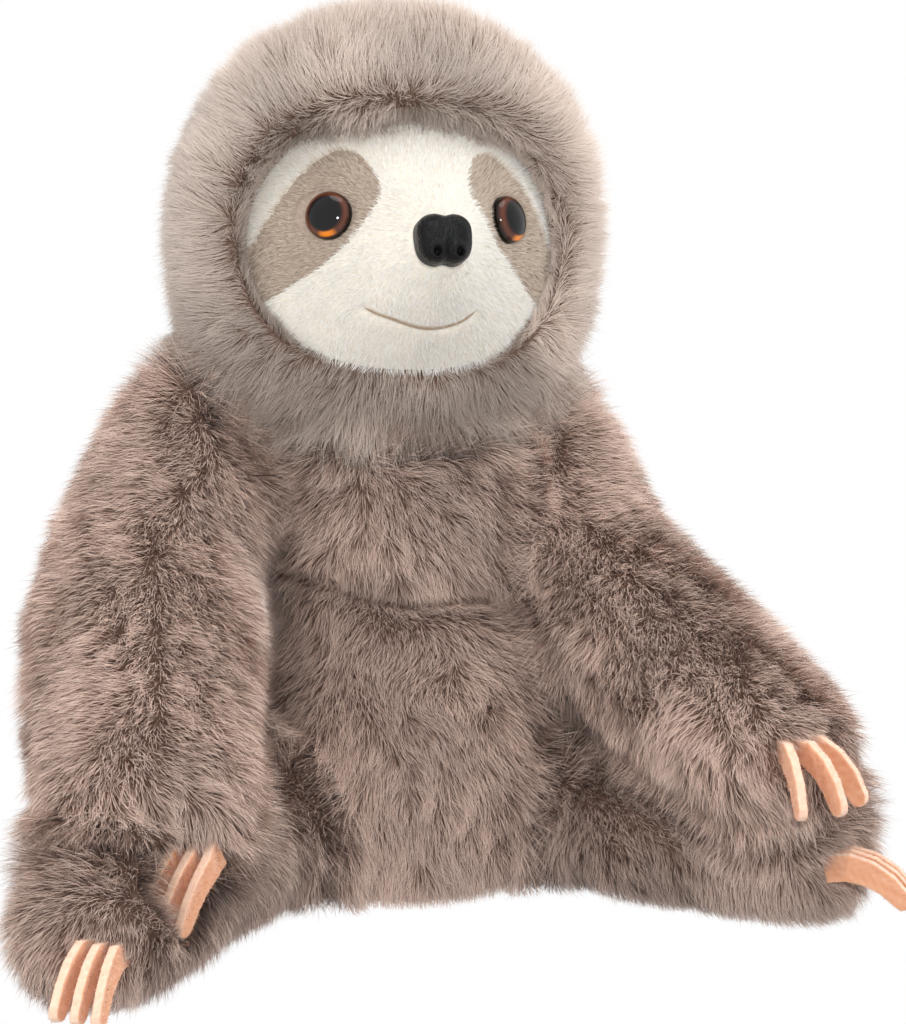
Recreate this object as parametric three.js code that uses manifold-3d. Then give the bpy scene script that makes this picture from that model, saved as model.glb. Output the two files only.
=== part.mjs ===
// A plush toy sloth, seated on the floor with its paws resting on its feet.
// Long-pile hood, torso and limbs are sewn bags filled with stuffing; a short-pile face panel
// bulges out of the hood and carries inset eye patches, two safety eyes and a moulded nose;
// three felt claws are sewn into the end of every limb.
// Millimetres. +Z is up, the toy faces -Y, and +X is the toy's own left.
import * as THREE from 'three';
import { mergeVertices } from 'three/addons/utils/BufferGeometryUtils.js';
import Module from 'manifold-3d';

const wasm = await Module();
wasm.setup();

// Sewn, pressed or resting neighbours are drawn this far apart.
const gap = 0.3;
// A cutting solid runs this far past what it cuts.
const overrun = 30;
// The soft forms are flattened this much where they sit on the floor.
const seatFlat = 0.5;
// How much further than the gap a limb is trimmed from what it leans on at rest and swings past.
const restEase = 0.7;
const swingEase = 0.9;
// How much further than the gap an arm is trimmed from the leg that it presses on.
const pressEase = 0.3;
// How much more room a faceted hood needs while it turns.
const turnEase = 0.9;
// How much further back than its lining the stuffing behind the face stays.
const faceEase = 1.3;
// Facets smaller than this that cuts leave behind are merged into their neighbours.
const tidyTo = 0.25;
// How much wider a socket is drawn than the round end that turns in it.
const socketEase = 2.1;

// Thickness of the furry cloth, its backing and lying pile together.
const clothThickness = { body: 7, hood: 10, face: 2.6 };

const torso = {
  height: 150,
  bellyHalfWidth: 49,
  bellyHalfDepth: 45,
  bellyForward: 18,
  neckBack: 4,
  waistHeight: 92,
  sideSeamForward: 6,
};
// From seat to neck: height, half-width and half-depth as shares of the torso's own.
const torsoRingShares = [
  [0.0, 0.68, 0.64],
  [0.025, 0.85, 0.84],
  [0.09, 0.96, 0.95],
  [0.2, 1.0, 1.0],
  [0.33, 1.0, 1.0],
  [0.47, 0.95, 0.93],
  [0.605, 0.78, 0.76],
  [0.7, 0.79, 0.79],
  [0.82, 0.81, 0.8],
  [0.92, 0.77, 0.73],
  [0.98, 0.64, 0.58],
];

const head = {
  radius: 70.5,
  frontDepth: 40,
  backDepth: 62,
  sink: 13,
  back: 5,
  neckHoleRadius: 20,
  facePitchDeg: 12,
  faceRollDeg: 4,
};
// Roundness of the hood above and below its widest line; 2 is a sphere.
const hoodRoundness = { crown: 2.05, collar: 2.6 };

// The face panel, in the face's own frame: x across, z up, -y out of the head.
const face = {
  halfWidth: 50.6,
  halfHeight: 39.3,
  drop: 6.7,
  domeRadius: 58,
  domeBack: 17.5,
  hem: 7,
  outlineRoundness: 2.3,
};
const muzzle = { rise: 17, halfWidth: 19, halfHeight: 24, drop: 12 };

const eye = {
  radius: 7.5,
  domeHeight: 4.2,
  backThickness: 1.2,
  pupilRadius: 5,
  pupilHeight: 0.8,
  shankRadius: 2.2,
  shankLength: 11,
  across: 29.2,
  up: 1.2,
  sink: 1.4,
};
const washer = { radius: 7, thickness: 1.2, behindCloth: 0.4 };
const nose = {
  halfWidth: 9.2,
  halfHeight: 8.2,
  depth: 8.5,
  drop: 7.5,
  sink: 1.2,
  shankRadius: 2.2,
  shankLength: 11,
  nostrilRadius: 2.1,
  nostrilSpacing: 7.4,
  nostrilDrop: 4.6,
  footHeight: 2.2,
  roundness: 2.9,
  flareShare: 0.14,
  notchShare: 0.1,
  notchWidthShare: 0.22,
  cushionPower: 0.55,
};

// Outline of the left eye patch from its upper inner corner, as shares of the face's half-sizes
// measured from the middle of the face.
const eyePatchShares = [
  [0.32, 0.6],
  [0.4, 0.75],
  [0.58, 0.74],
  [0.78, 0.52],
  [0.96, 0.2],
  [1.2, 0.0],
  [1.25, -0.44],
  [0.92, -0.45],
  [0.72, -0.3],
  [0.5, -0.03],
  [0.36, 0.3],
];

// Furthest that the arms swing up and forward, and that the legs swing down.
const swingDeg = { arm: -45, leg: 35 };
// How far an arm lifts, or the leg below it drops, before the claws are clear of the leg.
const liftDeg = -12;

const arm = { holeRadius: 11 };
// Each shoulder: out from the middle, behind it, below the neck.
const shoulderPose = { left: [55, 3, 20], right: [66, 3, 9] };
// Half-sizes of a limb's section at its stations: across, then the other way.
const armGirths = { left: [[23, 23], [32, 31], [31, 24]], right: [[27, 26], [37, 34], [34, 25]] };
// Elbow and wrist of each arm: out from the middle, forward of the shoulder, height.
const armPose = {
  left: { elbow: [61, 27, 94], wrist: [90, 100, 57] },
  right: { elbow: [85, 24, 101], wrist: [103, 84, 55] },
};

const leg = { hipX: 42, hipForward: 20, holeRadius: 10 };
const legGirths = { left: [[25, 25], [23, 22], [25, 22]], right: [[26, 25], [32, 27], [28, 23]] };
// Knee and ankle of each leg: out from the middle, forward of it.
const legPose = {
  left: { knee: [66, 64], ankle: [102, 97] },
  right: { knee: [86, 56], ankle: [124, 106] },
};

// A claw is cut from felt: a hook that turns down from the limb and ends in a round tip.
const claw = {
  felt: 3,
  length: 27,
  rootWidth: 10,
  tipWidth: 6,
  bendRadius: 26,
  tab: 6,
};
// Where each limb's claws are sewn in, as a bearing out from straight ahead and a dip below
// level seen from the middle of its paw; then the way that they point, likewise, how far they lean
// outwards, the fan between neighbours, and how far apart their roots are.
const clawPose = {
  arm_left: {
    seatDeg: 7, seatDipDeg: -12,
    headingDeg: 20, dipDeg: 8, leanDeg: 0, fanDeg: 24, spacing: 6.6,
  },
  arm_right: {
    seatDeg: -18, seatDipDeg: 26,
    headingDeg: 42, dipDeg: 28, leanDeg: 16, fanDeg: 4, spacing: 5.2,
  },
  leg_left: {
    seatDeg: 16, seatDipDeg: -8,
    headingDeg: 62, dipDeg: -8, leanDeg: 0, fanDeg: 4, spacing: 4.4,
  },
  leg_right: {
    seatDeg: 12, seatDipDeg: -4,
    headingDeg: 22, dipDeg: 4, leanDeg: 8, fanDeg: 4, spacing: 5,
  },
};

// Facet counts.
const facets = {
  hood: 20,
  torso: 15,
  limb: 11,
  limbRings: 4,
  cap: 3,
  lining: 0.5,
  round: 12,
  socket: 10,
  faceRings: 4,
  faceSides: 16,
  armSwing: 4,
  legSwing: 1,
  clawSteps: 4,
  noseSides: 20,
  noseRings: 4,
};

const colour = {
  fur: new THREE.MeshStandardMaterial({ color: 0x8f7a6e, roughness: 0.95, metalness: 0 }),
  furDark: new THREE.MeshStandardMaterial({ color: 0x7f6a5e, roughness: 0.95, metalness: 0 }),
  faceCream: new THREE.MeshStandardMaterial({ color: 0xeee9df, roughness: 0.9, metalness: 0 }),
  patch: new THREE.MeshStandardMaterial({ color: 0xa59284, roughness: 0.92, metalness: 0 }),
  felt: new THREE.MeshStandardMaterial({ color: 0xf0bf9e, roughness: 0.9, metalness: 0 }),
  amber: new THREE.MeshStandardMaterial({ color: 0x8a3a10, roughness: 0.05, metalness: 0 }),
  blackPlastic: new THREE.MeshStandardMaterial({ color: 0x0b0b0c, roughness: 0.25, metalness: 0 }),
  nose: new THREE.MeshStandardMaterial({ color: 0x17181a, roughness: 0.3, metalness: 0 }),
  washer: new THREE.MeshStandardMaterial({ color: 0xe6e6e2, roughness: 0.5, metalness: 0 }),
  stuffing: new THREE.MeshStandardMaterial({ color: 0xf4f3ef, roughness: 1, metalness: 0 }),
};

const rad = THREE.MathUtils.degToRad;
const UP = new THREE.Vector3(0, 0, 1);

// A geometry as a solid that can be joined and cut.
function solid(geometry, matrix = new THREE.Matrix4()) {
  const bare = new THREE.BufferGeometry();
  bare.setAttribute('position', geometry.getAttribute('position').clone());
  bare.setIndex(geometry.index);
  bare.applyMatrix4(matrix);
  const merged = mergeVertices(bare, 1e-4);
  const made = (faces) => new wasm.Manifold(new wasm.Mesh({
    numProp: 3,
    vertProperties: merged.getAttribute('position').array,
    triVerts: new Uint32Array(faces),
  }));
  const skin = made(merged.index.array);
  // A skin that was laid inside out is turned round.
  return skin.volume() > 0 ? skin : made(merged.index.array.toReversed());
}

// A solid back as a geometry with flat-shaded faces.
function geometryOf(made) {
  const mesh = made.getMesh();
  const geometry = new THREE.BufferGeometry();
  geometry.setAttribute('position', new THREE.BufferAttribute(new Float32Array(mesh.vertProperties), 3));
  geometry.setIndex(new THREE.BufferAttribute(new Uint32Array(mesh.triVerts), 1));
  geometry.computeVertexNormals();
  return geometry;
}

// A named mesh of a solid, without the crumbs that cuts can leave beside it.
function piece(name, made, material) {
  const bodies = made.simplify(tidyTo).decompose();
  const largest = bodies.reduce((best, body) => (body.volume() > best.volume() ? body : best));
  const mesh = new THREE.Mesh(geometryOf(largest), material);
  mesh.name = name;
  return mesh;
}

// One closed skin over a stack of rings with the same count of points, shut by a pole at each end.
function skinOver(rings, firstPole, lastPole) {
  const sides = rings[0].length;
  const points = [firstPole, ...rings.flat(), lastPole];
  const last = points.length - 1;
  const faces = [];
  for (let s = 0; s < sides; s++) {
    const t = (s + 1) % sides;
    faces.push(0, 1 + t, 1 + s);
    for (let r = 0; r + 1 < rings.length; r++) {
      const a = 1 + r * sides;
      const b = a + sides;
      faces.push(a + s, a + t, b + t, a + s, b + t, b + s);
    }
    const end = 1 + (rings.length - 1) * sides;
    faces.push(end + s, end + t, last);
  }
  const geometry = new THREE.BufferGeometry().setFromPoints(points);
  geometry.setIndex(faces);
  return geometry;
}

// Superellipse radius shares at an angle, for a given roundness.
function roundedShare(angle, roundness) {
  const c = Math.cos(angle);
  const s = Math.sin(angle);
  return new THREE.Vector2(
    Math.sign(c) * Math.abs(c) ** (2 / roundness),
    Math.sign(s) * Math.abs(s) ** (2 / roundness),
  );
}

// Torso: rings from the seat up, leaning back from a belly that sits forward.
function torsoForm(grow, sides = facets.torso) {
  const curve = new THREE.CatmullRomCurve3(torsoRingShares.map((row) => new THREE.Vector3(...row)));
  const steps = torsoRingShares.length;
  const low = -seatFlat - grow;
  const high = torso.height + grow;
  const middleY = (share) => THREE.MathUtils.lerp(-torso.bellyForward, torso.neckBack, share ** 1.5);
  const rings = [];
  for (let i = 0; i <= steps; i++) {
    const row = curve.getPoint(i / steps);
    const z = THREE.MathUtils.lerp(low, high, row.x);
    const ring = [];
    for (let s = 0; s < sides; s++) {
      const a = (s / sides) * 2 * Math.PI;
      ring.push(new THREE.Vector3(
        Math.cos(a) * (torso.bellyHalfWidth * row.y + grow),
        middleY(row.x) + Math.sin(a) * (torso.bellyHalfDepth * row.z + grow),
        z,
      ));
    }
    rings.push(ring);
  }
  return solid(skinOver(
    rings,
    new THREE.Vector3(0, middleY(0), low),
    new THREE.Vector3(0, middleY(1), high),
  ));
}

// Hood: a ball, flattened in front and behind unless it is drawn as the room that it turns in.
const headCentre = new THREE.Vector3(0, head.back, torso.height - head.sink + head.radius);
function hoodForm(grow, segments = facets.hood, turning = false) {
  const radius = head.radius + grow;
  const steps = segments / 2;
  const profile = [];
  for (let i = 0; i <= steps; i++) {
    const a = -Math.PI / 2 + (i / steps) * Math.PI;
    const share = roundedShare(a, a < 0 ? hoodRoundness.collar : hoodRoundness.crown);
    profile.push(new THREE.Vector2(i % steps === 0 ? 0 : radius * share.x, radius * share.y));
  }
  const form = new THREE.LatheGeometry(profile, segments).rotateX(Math.PI / 2);
  if (!turning) {
    const points = form.getAttribute('position');
    for (let i = 0; i < points.count; i++) {
      const depth = points.getY(i) < 0 ? head.frontDepth : head.backDepth;
      points.setY(i, points.getY(i) * (depth + grow) / radius);
    }
  }
  return solid(form.translate(...headCentre));
}

// How far the face's surface stands out of the head at a place on the face.
function faceOut(x, z) {
  const dome = Math.sqrt(Math.max(face.domeRadius ** 2 - x ** 2 - (z + face.drop) ** 2, 0)) - face.domeBack;
  const across = x / muzzle.halfWidth;
  const upward = (z + muzzle.drop) / muzzle.halfHeight;
  const bump = muzzle.rise * Math.exp(-(across ** 2) - upward ** 2);
  return dome + bump;
}

function faceRing(share, inset, out) {
  const ring = [];
  for (let s = 0; s < facets.faceSides; s++) {
    const rim = roundedShare((s / facets.faceSides) * 2 * Math.PI, face.outlineRoundness);
    const x = rim.x * (face.halfWidth - inset) * share;
    const z = rim.y * (face.halfHeight - inset) * share - face.drop;
    ring.push(new THREE.Vector3(x, -out(x, z), z));
  }
  return ring;
}

// The bulging panel: its outer skin, a hem turned back into the hood, and its lining.
function facePanelForm() {
  const outer = faceOut;
  const inner = (x, z) => faceOut(x, z) - clothThickness.face;
  const hem = (x, z) => faceOut(x, z) - face.hem;
  const shares = Array.from({ length: facets.faceRings }, (_, i) => (i + 1) / facets.faceRings);
  const rings = [
    ...shares.map((share) => faceRing(share, 0, outer)),
    faceRing(1, 0, hem),
    faceRing(1, clothThickness.face, hem),
    ...shares.toReversed().map((share) => faceRing(share, clothThickness.face, inner)),
  ];
  const middle = (out) => new THREE.Vector3(0, -out(0, -face.drop), -face.drop);
  return skinOver(rings, middle(outer), middle(inner));
}

// The room that the face fills, set in from its outline, from a plane in the head out to its
// surface, or straight on out of the head where front is given.
function facePlug(inset, back, front = 0) {
  const shares = Array.from({ length: facets.faceRings }, (_, i) => (i + 1) / facets.faceRings);
  const out = (x, z) => (front > 0 ? front : faceOut(x, z) - inset);
  const rings = [...shares.map((share) => faceRing(share, inset, out)), faceRing(1, inset, () => back)];
  const middle = (y) => new THREE.Vector3(0, -y, -face.drop);
  return skinOver(rings, middle(out(0, -face.drop)), middle(back));
}

// A limb: round sections along a curve, with round ends. Girths are [side, height] half-sizes.
function limbForm(route, girths, grow, sides = facets.limb, runs = facets.limbRings) {
  const curve = new THREE.CatmullRomCurve3(route);
  const girthCurve = new THREE.SplineCurve(girths.map((g) => new THREE.Vector2(...g)));
  const rings = [];
  const addRing = (share, offset, scale) => {
    const tangent = curve.getTangentAt(share);
    const across = new THREE.Vector3().crossVectors(tangent, UP).normalize();
    const over = new THREE.Vector3().crossVectors(across, tangent);
    const middle = curve.getPointAt(share).addScaledVector(tangent, offset);
    const girth = girthCurve.getPoint(share);
    const ring = [];
    for (let s = 0; s < sides; s++) {
      const a = (s / sides) * 2 * Math.PI;
      ring.push(middle.clone()
        .addScaledVector(across, Math.cos(a) * (girth.x + grow) * scale)
        .addScaledVector(over, Math.sin(a) * (girth.y + grow) * scale));
    }
    rings.push(ring);
  };
  const capLength = (g) => (g[0] + g[1]) / 2 + grow;
  const startCap = capLength(girths[0]);
  const endCap = capLength(girths.at(-1));
  for (let i = 1; i < facets.cap; i++) {
    const a = (i / facets.cap) * Math.PI / 2;
    addRing(0, -startCap * Math.cos(a), Math.sin(a));
  }
  for (let i = 0; i <= runs; i++) addRing(i / runs, 0, 1);
  for (let i = facets.cap - 1; i > 0; i--) {
    const a = (i / facets.cap) * Math.PI / 2;
    addRing(1, endCap * Math.cos(a), Math.sin(a));
  }
  const first = curve.getPointAt(0).addScaledVector(curve.getTangentAt(0), -startCap);
  const last = curve.getPointAt(1).addScaledVector(curve.getTangentAt(1), endCap);
  return solid(skinOver(rings, first, last));
}

// A rod along an axis through a point, for holes and shanks.
function rodAlong(point, direction, radius, length) {
  const rod = new THREE.CylinderGeometry(radius, radius, length, facets.round);
  const way = direction.clone().normalize();
  const turn = new THREE.Quaternion().setFromUnitVectors(new THREE.Vector3(0, 1, 0), way);
  const middle = point.clone().addScaledVector(way, length / 2);
  return solid(rod, new THREE.Matrix4().compose(middle, turn, new THREE.Vector3(1, 1, 1)));
}

function ballAt(point, radius) {
  const ball = new THREE.SphereGeometry(radius, facets.socket, facets.socket / 2);
  ball.rotateZ(Math.PI / 2);
  return solid(ball, new THREE.Matrix4().makeTranslation(point));
}

function joined(solids) {
  return solids.reduce((all, one) => all.add(one));
}

// A felt claw lying in its own x-y plane, root at the origin, hooking towards -y.
function clawForm(grow) {
  const turn = claw.length / claw.bendRadius;
  const steps = facets.clawSteps;
  const at = (share, half) => {
    const a = Math.PI / 2 - turn * share;
    return new THREE.Vector2(
      Math.cos(a) * (claw.bendRadius + half),
      Math.sin(a) * (claw.bendRadius + half) - claw.bendRadius,
    );
  };
  const half = (share) => THREE.MathUtils.lerp(claw.rootWidth, claw.tipWidth, share) / 2 + grow;
  const shares = Array.from({ length: steps + 1 }, (_, i) => i / steps);
  const tipMiddle = at(1, 0);
  const tip = [1, 2, 3].map((n) => {
    const a = Math.PI / 2 - turn - (n / 4) * Math.PI;
    return new THREE.Vector2(Math.cos(a), Math.sin(a)).multiplyScalar(half(1)).add(tipMiddle);
  });
  const outline = [
    new THREE.Vector2(-grow, -half(0)),
    new THREE.Vector2(-grow, half(0)),
    ...shares.slice(1).map((share) => at(share, half(share))),
    ...tip,
    ...shares.slice(1).toReversed().map((share) => at(share, -half(share))),
  ];
  const thickness = claw.felt + 2 * grow;
  const geometry = new THREE.ExtrudeGeometry(new THREE.Shape(outline), {
    depth: thickness,
    bevelEnabled: false,
  });
  return geometry.translate(0, 0, -thickness / 2);
}

// A limb's route from its pivot through its middle joint to the middle of its paw.
function armRoute(name, side) {
  const { elbow, wrist } = armPose[name];
  const pivot = shoulder(name, side);
  return [
    pivot,
    new THREE.Vector3(side * elbow[0], pivot.y - elbow[1], elbow[2]),
    new THREE.Vector3(side * wrist[0], pivot.y - wrist[1], wrist[2]),
  ];
}

// Legs lie on the floor, so each station is as high as its own half-height.
function legRoute(name, side) {
  const { knee, ankle } = legPose[name];
  return [
    hip(name, side),
    new THREE.Vector3(side * knee[0], -knee[1], legGirths[name][1][1] - seatFlat),
    new THREE.Vector3(side * ankle[0], -ankle[1], legGirths[name][2][1] - seatFlat),
  ];
}

// Where a limb's three claws go: a matrix for each, from its own frame to the toy's.
function clawPlaces(route, girth, side, pose) {
  const paw = route.at(-1);
  const along = new THREE.CatmullRomCurve3(route).getTangentAt(1);
  const across = new THREE.Vector3().crossVectors(along, UP).normalize();
  const over = new THREE.Vector3().crossVectors(across, along);
  const cap = (girth[0] + girth[1]) / 2;
  const seatBearing = side * rad(pose.seatDeg);
  const seatLevel = Math.cos(rad(pose.seatDipDeg));
  const seatWay = new THREE.Vector3(
    Math.sin(seatBearing) * seatLevel,
    -Math.cos(seatBearing) * seatLevel,
    -Math.sin(rad(pose.seatDipDeg)),
  );
  const reach = 1 / Math.hypot(
    seatWay.dot(across) / girth[0],
    seatWay.dot(over) / girth[1],
    seatWay.dot(along) / cap,
  );
  return [-1, 0, 1].map((n) => {
    const heading = side * rad(pose.headingDeg) + n * rad(pose.fanDeg);
    const level = new THREE.Vector3(Math.sin(heading), -Math.cos(heading), 0);
    const right = new THREE.Vector3().crossVectors(level, UP);
    const out = level.clone().applyAxisAngle(right, -rad(pose.dipDeg));
    right.applyAxisAngle(out, side * rad(pose.leanDeg));
    const top = new THREE.Vector3().crossVectors(right, out);
    const foot = paw.clone().addScaledVector(seatWay, reach).addScaledVector(out, -claw.tab);
    foot.addScaledVector(right, -n * pose.spacing);
    return new THREE.Matrix4().makeBasis(out, top, right).setPosition(foot);
  });
}

const root = new THREE.Group();
const bodyGroup = new THREE.Group();
const headGroup = new THREE.Group();
root.add(bodyGroup, headGroup);

// The joints' own points.
const shoulder = (name, side) => {
  const [out, behind, below] = shoulderPose[name];
  return new THREE.Vector3(side * out, behind, torso.height - below);
};
const hip = (name, side) => new THREE.Vector3(
  side * leg.hipX,
  -leg.hipForward,
  legGirths[name][0][1] - seatFlat,
);
const limbs = [
  { name: 'arm_left', side: 1, isArm: true, girths: armGirths.left, hole: arm.holeRadius },
  { name: 'arm_right', side: -1, isArm: true, girths: armGirths.right, hole: arm.holeRadius },
  { name: 'leg_left', side: 1, isArm: false, girths: legGirths.left, hole: leg.holeRadius },
  { name: 'leg_right', side: -1, isArm: false, girths: legGirths.right, hole: leg.holeRadius },
];
for (const limb of limbs) {
  const which = limb.name.split('_')[1];
  limb.route = (limb.isArm ? armRoute : legRoute)(which, limb.side);
  limb.pivot = limb.route[0];
}

// The round socket that a limb's end turns in.
const socket = (limb, grow) => ballAt(limb.pivot, limb.girths[0][0] + socketEase + grow);
const coarse = (count) => 2 * Math.round(count * facets.lining / 2);

// An obstacle as a limb meets it all through its swing about its sideways axis: close at rest,
// and with some ease from there on.
function swept(limb, atRest, eased) {
  const { y, z } = limb.pivot;
  const furthest = limb.isArm ? swingDeg.arm : swingDeg.leg;
  const steps = limb.isArm ? facets.armSwing : facets.legSwing;
  const copies = Array.from({ length: steps }, (_, i) => (
    eased.translate(0, -y, -z).rotate(-furthest * (i + 1) / steps, 0, 0).translate(0, y, z)
  ));
  return joined([atRest, ...copies]);
}

// The room that the hand above a leg needs for its claws, at rest and as either limb moves off.
function restingClaws(limb, clear) {
  const hand = limbs.find((other) => other.isArm && other.side === limb.side);
  const places = clawPlaces(hand.route, hand.girths.at(-1), hand.side, clawPose[hand.name]);
  const claws = wasm.Manifold.hull(places.map((place) => solid(clawForm(clear), place)));
  const movedOff = [hand.pivot, limb.pivot].flatMap(({ y, z }) => (
    [liftDeg / 2, liftDeg].map((turn) => (
      claws.translate(0, -y, -z).rotate(turn, 0, 0).translate(0, y, z)
    ))
  ));
  return wasm.Manifold.hull([claws, ...movedOff]);
}

// A limb's bulk set in from its skin, dented by whatever it leans on or swings past.
function limbBody(limb, inset) {
  const sides = inset > 0 ? coarse(facets.limb) : facets.limb;
  const runs = inset > 0 ? coarse(facets.limbRings) : facets.limbRings;
  const clear = gap + inset;
  const body = limbForm(limb.route, limb.girths, -inset, sides, runs);
  const torsoRoom = swept(limb, torsoForm(clear + restEase), torsoForm(clear + swingEase))
    .subtract(socket(limb, -socketEase - inset));
  if (!limb.isArm) {
    return body.subtract(torsoRoom).subtract(restingClaws(limb, clear)).trimByPlane([0, 0, 1], inset);
  }
  const legBelow = limbs.find((other) => !other.isArm && other.side === limb.side);
  const turningHood = hoodForm(clear + turnEase, facets.hood, true);
  const hoodRoom = swept(limb, turningHood, turningHood);
  return body.subtract(joined([
    torsoRoom,
    hoodRoom,
    limbForm(legBelow.route, legBelow.girths, clear + pressEase),
  ]));
}

// One limb: the fur bag with its seam hole and claw slots, the stuffing, and three claws.
function makeLimb(limb) {
  const { name, side, girths, route, pivot } = limb;
  const inward = new THREE.Vector3(-side, 0, 0);
  const hole = (grow) => rodAlong(pivot, inward, limb.hole + grow, girths[0][0] * 2);
  const outer = limbBody(limb, 0);
  const places = clawPlaces(route, girths.at(-1), side, clawPose[name]);
  let fur = outer.subtract(limbBody(limb, clothThickness.body)).subtract(hole(0));
  let filling = limbBody(limb, clothThickness.body + gap).add(hole(-gap)).intersect(outer);
  for (const place of places) {
    const slot = solid(clawForm(gap), place);
    fur = fur.subtract(slot);
    filling = filling.subtract(slot);
  }
  bodyGroup.add(piece(`${name}_fur`, fur, colour.fur));
  bodyGroup.add(piece(`${name}_stuffing`, filling, colour.stuffing));
  const names = side > 0 ? ['inner', 'middle', 'outer'] : ['outer', 'middle', 'inner'];
  places.forEach((place, i) => {
    const mesh = new THREE.Mesh(clawForm(0), colour.felt);
    mesh.name = `${name}_claw_${names[i]}`;
    mesh.applyMatrix4(place);
    bodyGroup.add(mesh);
  });
}

// Torso: a stuffed bag of chest, belly and back panels, open to every limb and to the head.
function makeTorso() {
  const bulk = (inset) => {
    const sides = inset > 0 ? coarse(facets.torso) : facets.torso;
    const form = torsoForm(-inset, sides).subtract(hoodForm(gap + inset, facets.hood, true));
    return form.subtract(joined(limbs.map((limb) => socket(limb, inset)))).trimByPlane([0, 0, 1], inset);
  };
  const holes = (grow) => joined([
    rodAlong(headCentre, UP.clone().negate(), head.neckHoleRadius + grow, head.radius + overrun),
    ...limbs.map((limb) => rodAlong(
      new THREE.Vector3(0, limb.pivot.y, limb.pivot.z),
      new THREE.Vector3(limb.side, 0, 0),
      limb.hole + grow,
      torso.bellyHalfWidth,
    )),
  ]);
  const outer = bulk(0);
  const shell = outer.subtract(bulk(clothThickness.body)).subtract(holes(0));
  const seamY = torso.sideSeamForward;
  const waist = torso.waistHeight;
  const front = shell.trimByPlane([0, -1, 0], seamY + gap / 2);
  const stuffing = bulk(clothThickness.body + gap).add(holes(-gap)).intersect(outer);
  bodyGroup.add(
    piece('chest_panel', front.trimByPlane([0, 0, 1], waist + gap / 2), colour.fur),
    piece('belly_panel', front.trimByPlane([0, 0, -1], -waist + gap / 2), colour.fur),
    piece('back_panel', shell.trimByPlane([0, 1, 0], -seamY + gap / 2), colour.furDark),
    piece('torso_stuffing', stuffing, colour.stuffing),
  );
}

// Places a thing made in the face's frame: pitched back a little in the middle of the head.
const facePlace = new THREE.Matrix4().makeTranslation(headCentre)
  .multiply(new THREE.Matrix4().makeRotationX(-rad(head.facePitchDeg)))
  .multiply(new THREE.Matrix4().makeRotationY(rad(head.faceRollDeg)));

// A frame standing on the face at a place, its z axis straight out of the surface there.
function onFace(x, z) {
  const step = 0.01;
  const at = (dx, dz) => new THREE.Vector3(x + dx, -faceOut(x + dx, z + dz), z + dz);
  const alongX = at(step, 0).sub(at(-step, 0));
  const alongZ = at(0, step).sub(at(0, -step));
  const out = new THREE.Vector3().crossVectors(alongX, alongZ).normalize();
  const right = alongX.sub(out.clone().multiplyScalar(alongX.dot(out))).normalize();
  const up = new THREE.Vector3().crossVectors(out, right);
  const local = new THREE.Matrix4().makeBasis(right, up, out).setPosition(at(0, 0));
  return facePlace.clone().multiply(local);
}

// A turned part from its profile of [radius, height] along the z axis.
function turned(profile) {
  const points = profile.map(([radius, height]) => new THREE.Vector2(radius, height));
  return new THREE.LatheGeometry(points, facets.round).rotateX(Math.PI / 2);
}

const disc = (radius, from, to) => turned([[0, from], [radius, from], [radius, to], [0, to]]);

// Outline of an eye patch grown all round, as a prism through the face.
function patchPrism(side, grow) {
  const middle = new THREE.Vector2(face.halfWidth * 0.7, 0);
  const points = eyePatchShares.map(([x, z]) => {
    const point = new THREE.Vector2(x * face.halfWidth, z * face.halfHeight);
    const out = point.clone().sub(middle).normalize();
    point.addScaledVector(out, grow);
    return new THREE.Vector2(side * point.x, point.y - face.drop);
  });
  const depth = head.radius + overrun;
  const prism = new THREE.ExtrudeGeometry(new THREE.Shape(points), { depth, bevelEnabled: false });
  return solid(prism.rotateX(Math.PI / 2), facePlace);
}

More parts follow.
